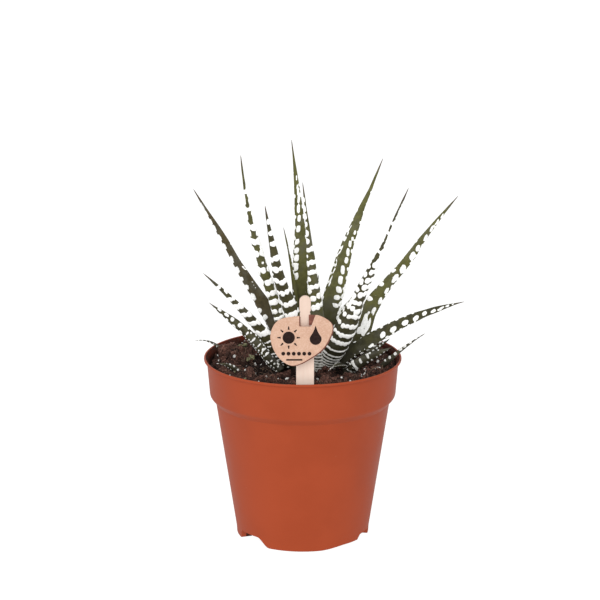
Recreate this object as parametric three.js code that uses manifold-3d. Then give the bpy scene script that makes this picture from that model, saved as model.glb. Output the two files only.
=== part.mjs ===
// Potted haworthia: a zebra-banded succulent in a plastic nursery pot, with a wooden
// stick and a card tag. Millimetres, +Z up, the photographed side faces -Y.
// Everything is laid out round the pot's axis. At the end it is shifted, so that
// the origin lies under the middle of the whole, on the surface that it stands on.
import * as THREE from 'three';
import { mergeVertices } from 'three/addons/utils/BufferGeometryUtils.js';
import Module from 'manifold-3d';

const wasm = await Module();
wasm.setup();

// Space left between pieces that rest on or in each other.
const CLEARANCE = 0.3;

// Pot: a tapered cup with a straight band under a thin lip.
const POT_HEIGHT = 83.5;
const LIP_RADIUS = 45;
const LIP_THICKNESS = 1.2;
const BAND_TOP_RADIUS = 42.9;
const BAND_LOW_RADIUS = 41.5;
const BAND_LOW_HEIGHT = 66.2;
const CREASE_RADIUS = 38.95;
const CREASE_HEIGHT = 63.4;
const FOOT_RADIUS = 30.3;
const FOOT_HEIGHT = 3;
const WALL = 1;
const FLOOR_UNDERSIDE = 3.6;
const FLOOR_TOP = 4.6;
const POT_SIDES = 48;

// Three arched notches in the foot ring and the drain holes in the floor.
const NOTCH_TURNS = [-56, 64, 184];
const NOTCH_HALF_WIDTH = 6.3;
const NOTCH_HEIGHT = 2.7;
const DRAIN_HOLES = 6;
const DRAIN_RADIUS = 2.5;
const DRAIN_CIRCLE = 18;

// Soil: nearly level, heaped a little towards the front, with soft lumps.
const SOIL_LEVEL = 78;
const SOIL_HEAP = 1.1;
const SOIL_HOLLOW = -0.6;
const SOIL_LUMPS = 34;
const LUMP_REACH = 39;
const LUMP_SIZE = 2.6;
const LUMP_RISE = 1.5;
const LUMP_LIMIT = 2.4;
const SOIL_SIDES = 48;

// Rosette: a short crown that every large leaf is seated on.
const CROWN_X = 2;
const CROWN_Y = 3;
const CROWN_FOOT = 66;
const CROWN_FOOT_RADIUS = 5;
const CROWN_TOP = 95;
const CROWN_SIDES = 16;
const CROWN_PROFILE = [
  [CROWN_FOOT_RADIUS, CROWN_FOOT + 1], [7.2, 70], [9.6, 75], [10, 78], [9.2, 80.5], [8.2, 83],
  [6.9, 85.5], [5, 88.5], [3.3, 91.5], [2, 94],
];

// Leaf blade: spacing and height of its raised white bands, and its blunt tip.
const BAND_SPACING = 5.2;
const BAND_HEIGHT = 0.4;
const TIP_HALF_WIDTH = 0.4;
const TIP_THICKNESS = 0.7;
const THICKNESS_SHARE = 0.34;

// Section of a blade as [across, through]: two edges, four points on the
// rounded outer face, and one on the slightly hollow inner face.
const SECTION = [[1, 0], [0.74, 0.6], [0.27, 0.97], [-0.27, 0.97], [-0.74, 0.6], [-1, 0], [0, 0.12]];

// Large leaves. root and tip are [turn, reach, height]: degrees from the front
// towards +X, mm from the crown's axis and mm over the soil. bow lifts the
// middle, side swings it, face is the turn that the banded outer face looks to.
const LEAVES = [
  {
    name: 'leaf_tall_front', root: [33.7, 11.3, 0], tip: [-9.3, 13, 88.9],
    bow: 0.5, side: 0.1, width: 10.7, taper: 1.22, face: 8,
  },
  {
    name: 'leaf_broad_right', root: [44.3, 10.2, 0], tip: [54.7, 54.3, 90.7],
    bow: -0.2, side: 0.3, width: 15.2, taper: 1.53, face: 18,
  },
  {
    name: 'leaf_low_right', root: [72.4, 12.8, 0], tip: [85.9, 71.3, 31.8],
    bow: 4.8, side: -0.4, width: 9.7, taper: 0.93, face: 140,
  },
  {
    name: 'leaf_low_left', root: [-53.2, 14.4, 0], tip: [-96.2, 45.1, 28.7],
    bow: 1, side: -2.5, width: 8.5, taper: 0.67, face: -8,
  },
  {
    name: 'leaf_left', root: [-59.3, 9.7, 2], tip: [-65.7, 50.9, 49.3],
    bow: 1.8, side: 1.6, width: 10.9, taper: 1.03, face: -30,
  },
  {
    name: 'leaf_front_left', root: [8.6, 8, 5], tip: [-29.2, 38.1, 83.1],
    bow: -0.6, side: -3.1, width: 13.8, taper: 1.25, face: -14,
  },
  {
    name: 'leaf_long_right', root: [85.8, 14.1, 2], tip: [108.3, 73, 74.5],
    bow: 2.3, side: 0.9, width: 11.9, taper: 1.19, face: 150,
  },
  {
    name: 'leaf_tall_left', root: [-40.1, 8, 4], tip: [-45.1, 41.2, 104.8],
    bow: 0.5, side: -6.3, width: 11.2, taper: 1.2, face: -25,
  },
  {
    name: 'leaf_back_right', root: [150, 11, 2], tip: [151, 60, 25],
    bow: 3.5, side: 0, width: 12, taper: 1.1, face: 150,
  },
  {
    name: 'leaf_back_middle', root: [184, 11, 2], tip: [182, 57, 30],
    bow: 3, side: 1, width: 12, taper: 1.1, face: 184,
  },
  {
    name: 'leaf_back_left', root: [-140, 11, 2], tip: [-141, 58, 42],
    bow: 2.5, side: 0, width: 12, taper: 1.1, face: -140,
  },
  {
    name: 'leaf_far_right', root: [118, 11, 2], tip: [133, 62, 35],
    bow: 3, side: 0, width: 11, taper: 1.1, face: 122,
  },
  {
    name: 'leaf_left_long', root: [-126.8, 7.2, 6], tip: [-122.2, 62, 75.2],
    bow: -0.9, side: 0.1, width: 10.1, taper: 1.13, face: -155,
  },
  {
    name: 'leaf_tall_right', root: [119.2, 6.8, 6], tip: [137.6, 52, 88.7],
    bow: 2.2, side: 2.3, width: 13, taper: 1.32, face: 165,
  },
  {
    name: 'leaf_tall_middle', root: [196.2, 5.7, 10], tip: [-151.9, 15.1, 102.7],
    bow: 0.6, side: -1.5, width: 11.4, taper: 1.03, face: 180,
  },
  {
    name: 'leaf_thin_back', root: [-118, 4.9, 8], tip: [-138, 16.1, 62.2],
    bow: 2.4, side: -0.6, width: 4.8, taper: 1.07, face: -140,
  },
];

// Short young leaves of the crown's heart, fused to it.
const HEART_LEAVES = [
  { root: [70, 1, 14], tip: [60, 6, 44], bow: 0, side: 0, width: 5.5, face: 60 },
  { root: [-60, 1, 14], tip: [-75, 7, 38], bow: 0, side: 0, width: 5.5, face: -70 },
  { root: [200, 1, 12], tip: [190, 4, 34], bow: 0, side: 0, width: 5, face: 190 },
];

// Offsets: small rosettes that stand in the soil round the crown, each one
// fused. Their leaves' root and tip are measured from the offset's own stem.
const OFFSETS = [
  {
    name: 'offset_front_right', at: [20, -8], stem: 2.2,
    leaves: [
      { root: [88, 1, 1.5], tip: [87, 21.5, 11], bow: 1, side: 0, width: 6.5, face: 60 },
      { root: [120, 1, 3], tip: [114, 21.5, 13.5], bow: 0.5, side: 0, width: 5, face: 100 },
      { root: [-40, 1, 1.5], tip: [-38, 14, 2.5], bow: 1.5, side: 0, width: 5, face: -40 },
      { root: [25, 1, 1], tip: [25, 7.5, 3], bow: 0.8, side: 0, width: 4.5, face: 25 },
    ],
  },
  {
    name: 'offset_right_rim', at: [34, -8], stem: 1.7,
    leaves: [
      { root: [68, 0.8, 2.5], tip: [68, 22.5, 21], bow: 0.8, side: 0, width: 4.2, face: 68 },
      { root: [10, 0.8, 0.8], tip: [10, 5, 2.6], bow: 0.6, side: 0, width: 3.6, face: 10 },
      { root: [150, 0.8, 1], tip: [150, 5.5, 4], bow: 0.4, side: 0, width: 3.6, face: 150 },
    ],
  },
  {
    name: 'offset_left_front', at: [-27.5, -17], stem: 1.7,
    leaves: [
      { root: [-100, 0.8, 1.5], tip: [-97, 11, 4.5], bow: 1, side: 0, width: 5, face: -90 },
      { root: [60, 0.8, 0.8], tip: [60, 5, 2.2], bow: 0.6, side: 0, width: 3.8, face: 60 },
      { root: [-20, 0.8, 0.8], tip: [-20, 5, 2], bow: 0.6, side: 0, width: 3.8, face: -20 },
    ],
  },
  {
    name: 'offset_left_back', at: [-34, 12], stem: 1.6,
    leaves: [
      { root: [-100, 0.8, 2], tip: [-103, 16, 8.5], bow: 3, side: 0, width: 3.4, face: -100 },
      { root: [30, 0.8, 0.8], tip: [30, 5, 2.4], bow: 0.5, side: 0, width: 3.6, face: 30 },
      { root: [140, 0.8, 0.8], tip: [145, 5, 3], bow: 0.5, side: 0, width: 3.6, face: 145 },
    ],
  },
];

// Wooden stick, leaning a little towards the front, and the card tag on it.
// Heights along the stick are over the soil; the tag's outline is measured from
// the closed end of its notch.
const STICK_AT = [1, -37.2, SOIL_LEVEL];
const STICK_LEAN = 6;
const STICK_WIDTH = 7.9;
const STICK_THICKNESS = 1.4;
const STICK_BELOW_SOIL = 28;
const TONGUE_WIDTH = 5;
const TONGUE_TOP = 45;
const SHOULDER = 30;
const TAG_SLIT = 32;
const TAG_TILT = -13;
const TAG_THICKNESS = 0.8;
const TAG_OUTLINE = [
  [-15.3, -4], [-12, 2.6], [-2.5, 4.7], [6, 4.9], [11.9, 0.5],
  [9, -8.3], [2.8, -13.8], [-6, -17.4], [-12.5, -12.8],
];

const PLASTIC = { color: 0xb04e32, roughness: 0.55, metalness: 0 };
const EARTH = { color: 0x3a261d, roughness: 0.95, metalness: 0 };
const LEAF_GREEN = { color: 0x5a6136, roughness: 0.5, metalness: 0 };
const YOUNG_GREEN = { color: 0x6b7a3c, roughness: 0.5, metalness: 0 };
const PALE_WOOD = { color: 0xf0d3bb, roughness: 0.7, metalness: 0 };
const CARD = { color: 0xe4b795, roughness: 0.8, metalness: 0 };

const radians = THREE.MathUtils.degToRad;
const smooth = THREE.MathUtils.smoothstep;

// A repeatable random source, so that every build gives the same solid.
function seededRandom(seed) {
  let state = seed;
  return () => {
    state = (state * 1664525 + 1013904223) % 4294967296;
    return state / 4294967296;
  };
}

// Merge shared corners and drop the triangles that closed up to nothing.
function weld(geometry) {
  const bare = geometry.clone();
  bare.deleteAttribute('normal');
  bare.deleteAttribute('uv');
  const merged = mergeVertices(bare, 1e-4);
  const kept = [];
  const index = merged.index.array;
  for (let i = 0; i < index.length; i += 3) {
    const [a, b, c] = [index[i], index[i + 1], index[i + 2]];
    if (a !== b && b !== c && a !== c) kept.push(a, b, c);
  }
  merged.setIndex(kept);
  return merged;
}

// A closed solid from a closed surface, turned so that it faces outwards.
function toSolid(geometry) {
  const mesh = weld(geometry);
  const asSolid = (index) => new wasm.Manifold(new wasm.Mesh({
    numProp: 3,
    vertProperties: new Float32Array(mesh.attributes.position.array),
    triVerts: new Uint32Array(index),
  }));
  const solid = asSolid(mesh.index.array);
  return solid.volume() > 0 ? solid : asSolid(Array.from(mesh.index.array).reverse());
}

function toGeometry(solid) {
  const mesh = solid.getMesh();
  const geometry = new THREE.BufferGeometry();
  geometry.setAttribute('position', new THREE.BufferAttribute(new Float32Array(mesh.vertProperties), 3));
  geometry.setIndex(new THREE.BufferAttribute(new Uint32Array(mesh.triVerts), 1));
  geometry.computeVertexNormals();
  return geometry;
}

// The largest body of a cut solid, without the scraps that a cut leaves.
function largestBody(solid) {
  const bodies = solid.decompose();
  return bodies.reduce((best, body) => (body.volume() > best.volume() ? body : best));
}

function revolve(points, sides) {
  const outline = points.map(([radius, height]) => new THREE.Vector2(radius, height));
  return new THREE.LatheGeometry(outline, sides).rotateX(Math.PI / 2);
}

function named(name, geometry, finish) {
  const mesh = new THREE.Mesh(geometry, new THREE.MeshStandardMaterial(finish));
  mesh.name = name;
  return mesh;
}

function wallRadius(height) {
  const share = (height - FOOT_HEIGHT) / (CREASE_HEIGHT - FOOT_HEIGHT);
  return THREE.MathUtils.lerp(FOOT_RADIUS, CREASE_RADIUS, share);
}

function potShell() {
  const under = POT_HEIGHT - LIP_THICKNESS;
  return revolve([
    [0, FLOOR_TOP],
    [wallRadius(FLOOR_TOP) - WALL, FLOOR_TOP],
    [CREASE_RADIUS - WALL, CREASE_HEIGHT],
    [BAND_LOW_RADIUS - WALL, BAND_LOW_HEIGHT + 0.2],
    [BAND_TOP_RADIUS - WALL, under - 0.4],
    [BAND_TOP_RADIUS - 0.4, under + 0.6],
    [BAND_TOP_RADIUS + 0.7, POT_HEIGHT - 0.05],
    [LIP_RADIUS - 0.5, POT_HEIGHT],
    [LIP_RADIUS, POT_HEIGHT - 0.4],
    [LIP_RADIUS, under + 0.3],
    [LIP_RADIUS - 0.3, under],
    [BAND_TOP_RADIUS + 0.1, under - 0.1],
    [BAND_TOP_RADIUS, under - 0.6],
    [BAND_LOW_RADIUS, BAND_LOW_HEIGHT],
    [BAND_LOW_RADIUS - 0.3, BAND_LOW_HEIGHT - 0.7],
    [CREASE_RADIUS, CREASE_HEIGHT],
    [FOOT_RADIUS, FOOT_HEIGHT],
    [FOOT_RADIUS - 0.4, 1],
    [FOOT_RADIUS - 1, 0],
    [FOOT_RADIUS - 2.2, 0],
    [FOOT_RADIUS - 2, FLOOR_UNDERSIDE],
    [0, FLOOR_UNDERSIDE],
  ], POT_SIDES);
}

function footNotch(turn) {
  const arch = new THREE.Shape();
  arch.moveTo(-NOTCH_HALF_WIDTH, -1);
  arch.lineTo(-NOTCH_HALF_WIDTH, 0);
  arch.bezierCurveTo(-5, 0.6, -5, NOTCH_HEIGHT, -3, NOTCH_HEIGHT);
  arch.lineTo(3, NOTCH_HEIGHT);
  arch.bezierCurveTo(5, NOTCH_HEIGHT, 5, 0.6, NOTCH_HALF_WIDTH, 0);
  arch.lineTo(NOTCH_HALF_WIDTH, -1);
  const notch = new THREE.ExtrudeGeometry(arch, { depth: 10, bevelEnabled: false, curveSegments: 5 });
  notch.rotateX(Math.PI / 2).translate(0, -24, 0).rotateZ(radians(turn));
  return toSolid(notch);
}

function drainHole(turn) {
  const hole = new THREE.CylinderGeometry(DRAIN_RADIUS, DRAIN_RADIUS, 4, 12).rotateX(Math.PI / 2);
  hole.translate(0, -DRAIN_CIRCLE, FLOOR_TOP).rotateZ(radians(turn));
  return toSolid(hole);
}

function potSolid() {
  let pot = toSolid(potShell());
  for (const turn of NOTCH_TURNS) pot = pot.subtract(footNotch(turn));
  for (let i = 0; i < DRAIN_HOLES; i += 1) pot = pot.subtract(drainHole((i * 360) / DRAIN_HOLES));
  return pot;
}

// Places where plants and stick go in, which the lumps of soil keep off.
const seats = [
  { x: CROWN_X, y: CROWN_Y, radius: 13 },
  { x: STICK_AT[0], y: STICK_AT[1], radius: 5 },
  ...OFFSETS.map(({ at }) => ({ x: at[0], y: at[1], radius: 6 })),
];

const lumpRandom = seededRandom(41);
const lumps = Array.from({ length: SOIL_LUMPS }, () => {
  const angle = lumpRandom() * 2 * Math.PI;
  const reach = LUMP_REACH * Math.sqrt(lumpRandom());
  const size = LUMP_SIZE * (1 + lumpRandom());
  const rise = LUMP_RISE * (0.6 + lumpRandom());
  return { x: reach * Math.cos(angle), y: reach * Math.sin(angle), size, rise };
});

function soilHeight(x, y) {
  let lump = 0;
  for (const each of lumps) {
    const away = Math.hypot(x - each.x, y - each.y) / each.size;
    lump += each.rise * Math.exp(-away * away);
  }
  let level = 1;
  for (const seat of seats) {
    level = Math.min(level, smooth(Math.hypot(x - seat.x, y - seat.y), seat.radius * 0.6, seat.radius));
  }
  const heap = SOIL_HEAP * smooth(-y, 5, 35);
  return SOIL_LEVEL + SOIL_HOLLOW * level + heap + level * Math.min(lump, LUMP_LIMIT);
}

function soilBody() {
  const gap = CLEARANCE + WALL;
  const edge = BAND_TOP_RADIUS - gap - 0.5;
  const rings = [edge, 38, 34.5, 31, 27, 23, 19, 15, 10, 5, 0];
  const geometry = weld(revolve([
    [0, FLOOR_TOP + CLEARANCE],
    [wallRadius(FLOOR_TOP) - gap, FLOOR_TOP + CLEARANCE],
    [CREASE_RADIUS - gap - 0.1, CREASE_HEIGHT],
    [BAND_LOW_RADIUS - gap - 0.15, BAND_LOW_HEIGHT + 0.6],
    ...rings.map((radius) => [radius, SOIL_LEVEL]),
  ], SOIL_SIDES));
  const position = geometry.attributes.position;
  for (let i = 0; i < position.count; i += 1) {
    if (position.getZ(i) < SOIL_LEVEL - 0.01) continue;
    position.setZ(i, soilHeight(position.getX(i), position.getY(i)));
  }
  return toSolid(geometry);
}

function crownLathe(grow) {
  const sides = CROWN_PROFILE.map(([radius, height]) => [radius + grow, height]);
  const foot = CROWN_FOOT - grow;
  const outline = [[0, foot], [CROWN_FOOT_RADIUS + grow, foot], ...sides, [0, CROWN_TOP + 1.5 * grow]];
  return toSolid(revolve(outline, CROWN_SIDES).translate(CROWN_X, CROWN_Y, 0));
}

function aroundStem([turn, reach, height], stemX, stemY) {
  const angle = radians(turn);
  return new THREE.Vector3(
    stemX + reach * Math.sin(angle), stemY - reach * Math.cos(angle), SOIL_LEVEL + height);
}

// The middle line of a leaf: one curve from root to tip, bowed up and sideways.
function leafCurve(leaf, stemX, stemY) {
  const root = aroundStem(leaf.root, stemX, stemY);
  const tip = aroundStem(leaf.tip, stemX, stemY);
  const chord = tip.clone().sub(root).normalize();
  const swing = new THREE.Vector3(-chord.y, chord.x, 0).normalize();
  const lift = chord.clone().cross(swing).normalize();
  const middle = root.clone().add(tip).multiplyScalar(0.5);
  middle.addScaledVector(lift, 2 * leaf.bow).addScaledVector(swing, 2 * leaf.side);
  return new THREE.QuadraticBezierCurve3(root, middle, tip);
}

// Outward and across directions of the blade at a point of its middle line.
function bladeFrame(curve, t, face) {
  const along = curve.getTangent(t);
  const out = new THREE.Vector3(Math.sin(radians(face)), -Math.cos(radians(face)), -0.6);
  out.addScaledVector(along, -out.dot(along)).normalize();
  return { out, across: out.clone().cross(along) };
}

function halfWidth({ width, taper = 1.1 }, t) {
  const half = (width / 2) * Math.pow(1 - t, taper) * (0.6 + 0.4 * smooth(t, 0, 0.16));
  return Math.max(half, TIP_HALF_WIDTH);
}

function thickness(leaf, t) {
  return Math.max(TIP_THICKNESS, 2 * halfWidth(leaf, t) * THICKNESS_SHARE + 0.5);
}

// One blade, shaped from a cylinder whose rows alternate between the leaf's
// skin and the crest of a raised band. grow makes the clear space round it.
function leafBlade(leaf, rows, stemX, stemY, grow = 0) {
  const sides = SECTION.length;
  const curve = leafCurve(leaf, stemX, stemY);
  const blade = weld(new THREE.CylinderGeometry(1, 1, 1, sides, rows));
  const position = blade.attributes.position;
  for (let i = 0; i < position.count; i += 1) {
    const row = Math.round((0.5 - position.getY(i)) * rows);
    const onRim = Math.hypot(position.getX(i), position.getZ(i)) > 0.5;
    const turn = Math.atan2(position.getX(i), position.getZ(i)) / (2 * Math.PI);
    const corner = (Math.round(turn * sides) + sides) % sides;
    const [across, through] = onRim ? SECTION[corner] : [0, 0];
    const t = Math.pow(row / rows, 1.12);
    const half = halfWidth(leaf, t);
    const thick = thickness(leaf, t);
    const crest = row % 2 === 1 && t > 0.05 && t < 0.96 && grow === 0;
    const ridge = crest ? BAND_HEIGHT * Math.min(1, half / 2.2) : 0;
    const outer = onRim && through > 0.3;
    const wide = across * (half + grow + (outer ? ridge : 0.4 * ridge));
    const outset = outer ? ridge + grow : -grow;
    const deep = onRim ? through * thick + outset : thick / 2;
    const frame = bladeFrame(curve, t, leaf.face);
    const point = curve.getPoint(t).addScaledVector(frame.across, wide).addScaledVector(frame.out, deep);
    if (row === 0) point.addScaledVector(curve.getTangent(0), -grow);
    if (row === rows) point.addScaledVector(curve.getTangent(1), grow);
    position.setXYZ(i, point.x, point.y, point.z);
  }
  return toSolid(blade);
}

// Two rows of corners for each raised band, and one more to close the tip.
function leafRows(leaf) {
  const length = aroundStem(leaf.root, 0, 0).distanceTo(aroundStem(leaf.tip, 0, 0));
  return 2 * Math.round(length / BAND_SPACING) + 1;
}

// How far the clear space round a blade reaches beyond its smooth skin.
const BLADE_SPACE = CLEARANCE + 1.5 * BAND_HEIGHT;

// Plainer and slightly roomier spaces, for the dents that leaves press in soil.
const DENT_ROWS = 6;
const DENT_SPACE = BLADE_SPACE + 0.1;

// Overlaps smaller than this, in cubic mm, are not worth a cut.
const TOUCHING = 1e-6;

function clearOf(solid, cutters) {
  let result = solid;
  for (const cutter of cutters) {
    if (result.intersect(cutter).volume() > TOUCHING) result = largestBody(result.subtract(cutter));
  }
  return result;
}

function crownSolid() {
  let crown = crownLathe(0);
  for (const leaf of HEART_LEAVES) crown = crown.add(leafBlade(leaf, 7, CROWN_X, CROWN_Y));
  return crown;
}

function offsetStem({ at, stem }, grow) {
  const foot = SOIL_LEVEL - 7;
  const outline = [
    [0, foot - grow], [stem * 0.7 + grow, foot - grow], [stem + grow, foot + 2], [stem + grow, SOIL_LEVEL],
    [stem * 0.8 + grow, SOIL_LEVEL + 2.5], [0, SOIL_LEVEL + 4 + grow]];
  return toSolid(revolve(outline, 10).translate(at[0], at[1], 0));
}

function offsetSolid(offset) {
  let body = offsetStem(offset, 0);
  for (const leaf of offset.leaves) body = body.add(leafBlade(leaf, 9, ...offset.at));
  return body;
}

// The stick's face outline, in its own frame: z along it, 0 at the soil.
function stickShape(grow) {
  const half = STICK_WIDTH / 2 + grow;
  const tongue = TONGUE_WIDTH / 2 + grow;
  const shape = new THREE.Shape();
  shape.moveTo(0, -STICK_BELOW_SOIL - 2 * grow);
  shape.lineTo(half, -STICK_BELOW_SOIL + 7);
  shape.lineTo(half, SHOULDER - 3);
  shape.quadraticCurveTo(half, SHOULDER, tongue, SHOULDER);
  shape.lineTo(tongue - 0.2, TONGUE_TOP - 8.4);
  shape.quadraticCurveTo(tongue - 0.5, TONGUE_TOP - 7.6, tongue, TONGUE_TOP - 6.8);
  shape.lineTo(tongue, TONGUE_TOP - tongue);
  shape.absarc(0, TONGUE_TOP - tongue, tongue, 0, Math.PI, false);
  shape.lineTo(-tongue, TONGUE_TOP - 6.8);
  shape.quadraticCurveTo(-tongue + 0.5, TONGUE_TOP - 7.6, -tongue + 0.2, TONGUE_TOP - 8.4);
  shape.lineTo(-tongue, SHOULDER);
  shape.quadraticCurveTo(-half, SHOULDER, -half, SHOULDER - 3);
  shape.lineTo(-half, -STICK_BELOW_SOIL + 7);
  return shape;
}

function stickPlate(grow) {
  const depth = STICK_THICKNESS + 2 * grow;
  const plate = new THREE.ExtrudeGeometry(stickShape(grow), { depth, bevelEnabled: false, curveSegments: 5 });
  return plate.rotateX(Math.PI / 2).translate(0, depth / 2, 0);
}

function stickPlace() {
  const place = new THREE.Matrix4().makeRotationX(radians(STICK_LEAN));
  return place.setPosition(...STICK_AT);
}

// The card hangs on the stick's tongue by a notch that is open at its top.
function tagPlate() {
  const points = TAG_OUTLINE.map(([x, y]) => new THREE.Vector3(x, y, 0));
  const outline = new THREE.CatmullRomCurve3(points, true, 'centripetal').getPoints(44);
  const shape = new THREE.Shape(outline.slice(0, -1).map(({ x, y }) => new THREE.Vector2(x, y)));
  const card = new THREE.ExtrudeGeometry(shape, { depth: TAG_THICKNESS, bevelEnabled: false });
  card.rotateX(Math.PI / 2);
  const notch = new THREE.BoxGeometry(TONGUE_WIDTH + 2 * CLEARANCE, 4, 12).translate(0, 0, 6);
  return toGeometry(toSolid(card).subtract(toSolid(notch)));
}

const group = new THREE.Group();

const crown = crownSolid();
const crownSpace = crownLathe(CLEARANCE + 0.05);
const leafSpaces = [];
const leaves = LEAVES.map((leaf) => {
  const blade = leafBlade(leaf, leafRows(leaf), CROWN_X, CROWN_Y);
  const seated = clearOf(blade, [crownSpace, ...leafSpaces]);
  leafSpaces.push(leafBlade(leaf, 14, CROWN_X, CROWN_Y, BLADE_SPACE));
  return seated;
});

const offsets = OFFSETS.map((offset) => clearOf(offsetSolid(offset), leafSpaces));
const offsetDents = OFFSETS.flatMap(({ at, leaves: blades }) => (
  blades.map((blade) => leafBlade(blade, DENT_ROWS, ...at, DENT_SPACE))));
const stickSpace = toSolid(stickPlate(CLEARANCE + 0.05).applyMatrix4(stickPlace()));
const stemSpaces = OFFSETS.map((offset) => offsetStem(offset, CLEARANCE + 0.05));
const leafDents = LEAVES.map((leaf) => leafBlade(leaf, DENT_ROWS, CROWN_X, CROWN_Y, DENT_SPACE));
const soilCuts = [crownSpace, stickSpace, ...stemSpaces, ...leafDents, ...offsetDents];
const soil = clearOf(soilBody(), soilCuts);

group.add(named('pot', toGeometry(potSolid()), PLASTIC));
group.add(named('soil', toGeometry(soil), EARTH));
group.add(named('crown', toGeometry(crown), YOUNG_GREEN));
leaves.forEach((leaf, i) => group.add(named(LEAVES[i].name, toGeometry(leaf), LEAF_GREEN)));
offsets.forEach((offset, i) => group.add(named(OFFSETS[i].name, toGeometry(offset), YOUNG_GREEN)));

const marker = new THREE.Group();
marker.position.set(...STICK_AT);
marker.rotation.x = radians(STICK_LEAN);
const stick = named('stick', stickPlate(0), PALE_WOOD);
const tag = named('tag', tagPlate(), CARD);
tag.position.set(0, -STICK_THICKNESS / 2 - CLEARANCE - TAG_THICKNESS, TAG_SLIT);
tag.rotation.x = radians(TAG_TILT);
marker.add(stick, tag);
group.add(marker);

const bounds = new THREE.Box3().setFromObject(group, true);
const middle = bounds.getCenter(new THREE.Vector3());
group.position.set(-middle.x, -middle.y, 0);

export default group;
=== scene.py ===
# %% [markdown]
# # Potted haworthia
# A rosette of zebra-banded leaves in a moulded nursery pot, with a wooden stick and a
# card tag. The packed model gives the place and size of every piece. This script
# grows a finer skin on each of them, and the lesson goes from the pot to the plant.

# %% Load the packed model
import math

import bmesh
import bpy
import numpy as np
from mathutils import Matrix, Vector


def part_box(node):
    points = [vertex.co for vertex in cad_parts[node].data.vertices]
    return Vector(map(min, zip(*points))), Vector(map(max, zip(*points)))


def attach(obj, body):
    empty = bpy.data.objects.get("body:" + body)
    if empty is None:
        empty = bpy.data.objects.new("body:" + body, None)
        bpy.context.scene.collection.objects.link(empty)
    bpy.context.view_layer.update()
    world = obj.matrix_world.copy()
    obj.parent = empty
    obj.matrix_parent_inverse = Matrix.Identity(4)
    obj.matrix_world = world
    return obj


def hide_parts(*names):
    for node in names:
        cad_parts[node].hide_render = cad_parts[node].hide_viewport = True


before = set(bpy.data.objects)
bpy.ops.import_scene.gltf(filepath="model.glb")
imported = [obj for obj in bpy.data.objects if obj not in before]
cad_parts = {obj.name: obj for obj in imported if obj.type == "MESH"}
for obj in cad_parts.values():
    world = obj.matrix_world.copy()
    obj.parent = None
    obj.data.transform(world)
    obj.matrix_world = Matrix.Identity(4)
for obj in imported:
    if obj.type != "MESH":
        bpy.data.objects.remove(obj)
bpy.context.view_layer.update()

print("nodes in the frame:", len(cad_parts))

# %% [markdown]
# ## Units and the pot's axis
# The pieces are round things that stand about the pot's axis, so it is easiest to
# model them in millimetres from that axis. The packed pot tells where the axis is.

# %% Pot axis and helpers for places
MM = 0.001
pot_low, pot_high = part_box("pot")
POT_AXIS = (pot_low + pot_high) / 2
POT_AXIS.z = 0.0


def in_frame(points):
    """Points in millimetres round the pot's axis, as metres in the frame."""
    return np.asarray(points, float) * MM + np.array(POT_AXIS)


def put(name, data, at=(0, 0, 0)):
    """A new object in the scene, at a place in metres."""
    thing = bpy.data.objects.new(name, data)
    thing.location = at
    bpy.context.scene.collection.objects.link(thing)
    return thing


print("pot axis in metres:", tuple(round(v, 5) for v in POT_AXIS))

# %% [markdown]
# ## Camera
# The photograph looks down at the pot by 15 degrees from a little over a metre, with a
# long lens, so the leaves hardly grow towards the viewer. A focal length measured in
# pixels becomes a lens in millimetres through the width of the sensor.

# %% Camera
PHOTO_SIDE = 600
FOCAL_PIXELS = 2744
CAMERA_AT = (-1.25, -1200.0, 435.6)
CAMERA_PITCH = 15.18

camera_data = bpy.data.cameras.new("camera")
camera_data.sensor_width = 36.0
camera_data.lens = camera_data.sensor_width * FOCAL_PIXELS / PHOTO_SIDE
camera = put("camera", camera_data, in_frame(CAMERA_AT))
camera.rotation_euler = (math.radians(90 - CAMERA_PITCH), 0, 0)
bpy.context.scene.camera = camera
print("lens in mm:", round(camera_data.lens, 2))

# %% [markdown]
# ## Networks of nodes
# A material is a small network. A Network has short words for the nodes that every
# material here needs, and fills their sockets with values or with links. A colour is
# given as light and not as seen on a screen, so the numbers of dark colours are small.

# %% Network
class Network:
    def __init__(self, tree):
        self.tree = tree

    def fill(self, node, values):
        for key, value in values.items():
            socket = node.inputs[key]
            if isinstance(value, bpy.types.NodeSocket):
                self.tree.links.new(value, socket)
            elif socket.type == "RGBA":
                socket.default_value = (*value, 1)
            else:
                socket.default_value = value

    def node(self, kind, values=None, **settings):
        node = self.tree.nodes.new("ShaderNode" + kind)
        for key, value in settings.items():
            setattr(node, key, value)
        self.fill(node, values or {})
        return node

    def mix(self, share, first, second, blend="MIX"):
        values = {0: share, 6: first, 7: second}
        return self.node("Mix", values, data_type="RGBA", blend_type=blend).outputs[2]

    def ramp(self, value, low, high, to_low=0.0, to_high=1.0):
        values = {"Value": value, "From Min": low, "From Max": high, "To Min": to_low, "To Max": to_high}
        return self.node("MapRange", values, interpolation_type="SMOOTHSTEP").outputs[0]

    def calculate(self, first, second, operation="MULTIPLY"):
        return self.node("Math", {0: first, 1: second}, operation=operation).outputs[0]

    def noise(self, place, scale, detail, roughness=0.5):
        values = {"Vector": place, "Scale": scale, "Detail": detail, "Roughness": roughness}
        return self.node("TexNoise", values).outputs[0]


print("words of a network:", [word for word in vars(Network) if word[0] != "_"])

# %% [markdown]
# ## Shared effects as node groups
# Plastic, leaf, earth, wood and card all have patches that differ a little, and a fine
# grain that breaks up the shine. Each effect is built once, as a group with named sockets.
# *Patches* gives a soft mask. *Grain* gives a height for a Bump node, and its Stretch
# draws the grain out along one direction, as fibres in wood. *Specks* gives small
# round dots, and *Dust* marks what faces up.

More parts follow.
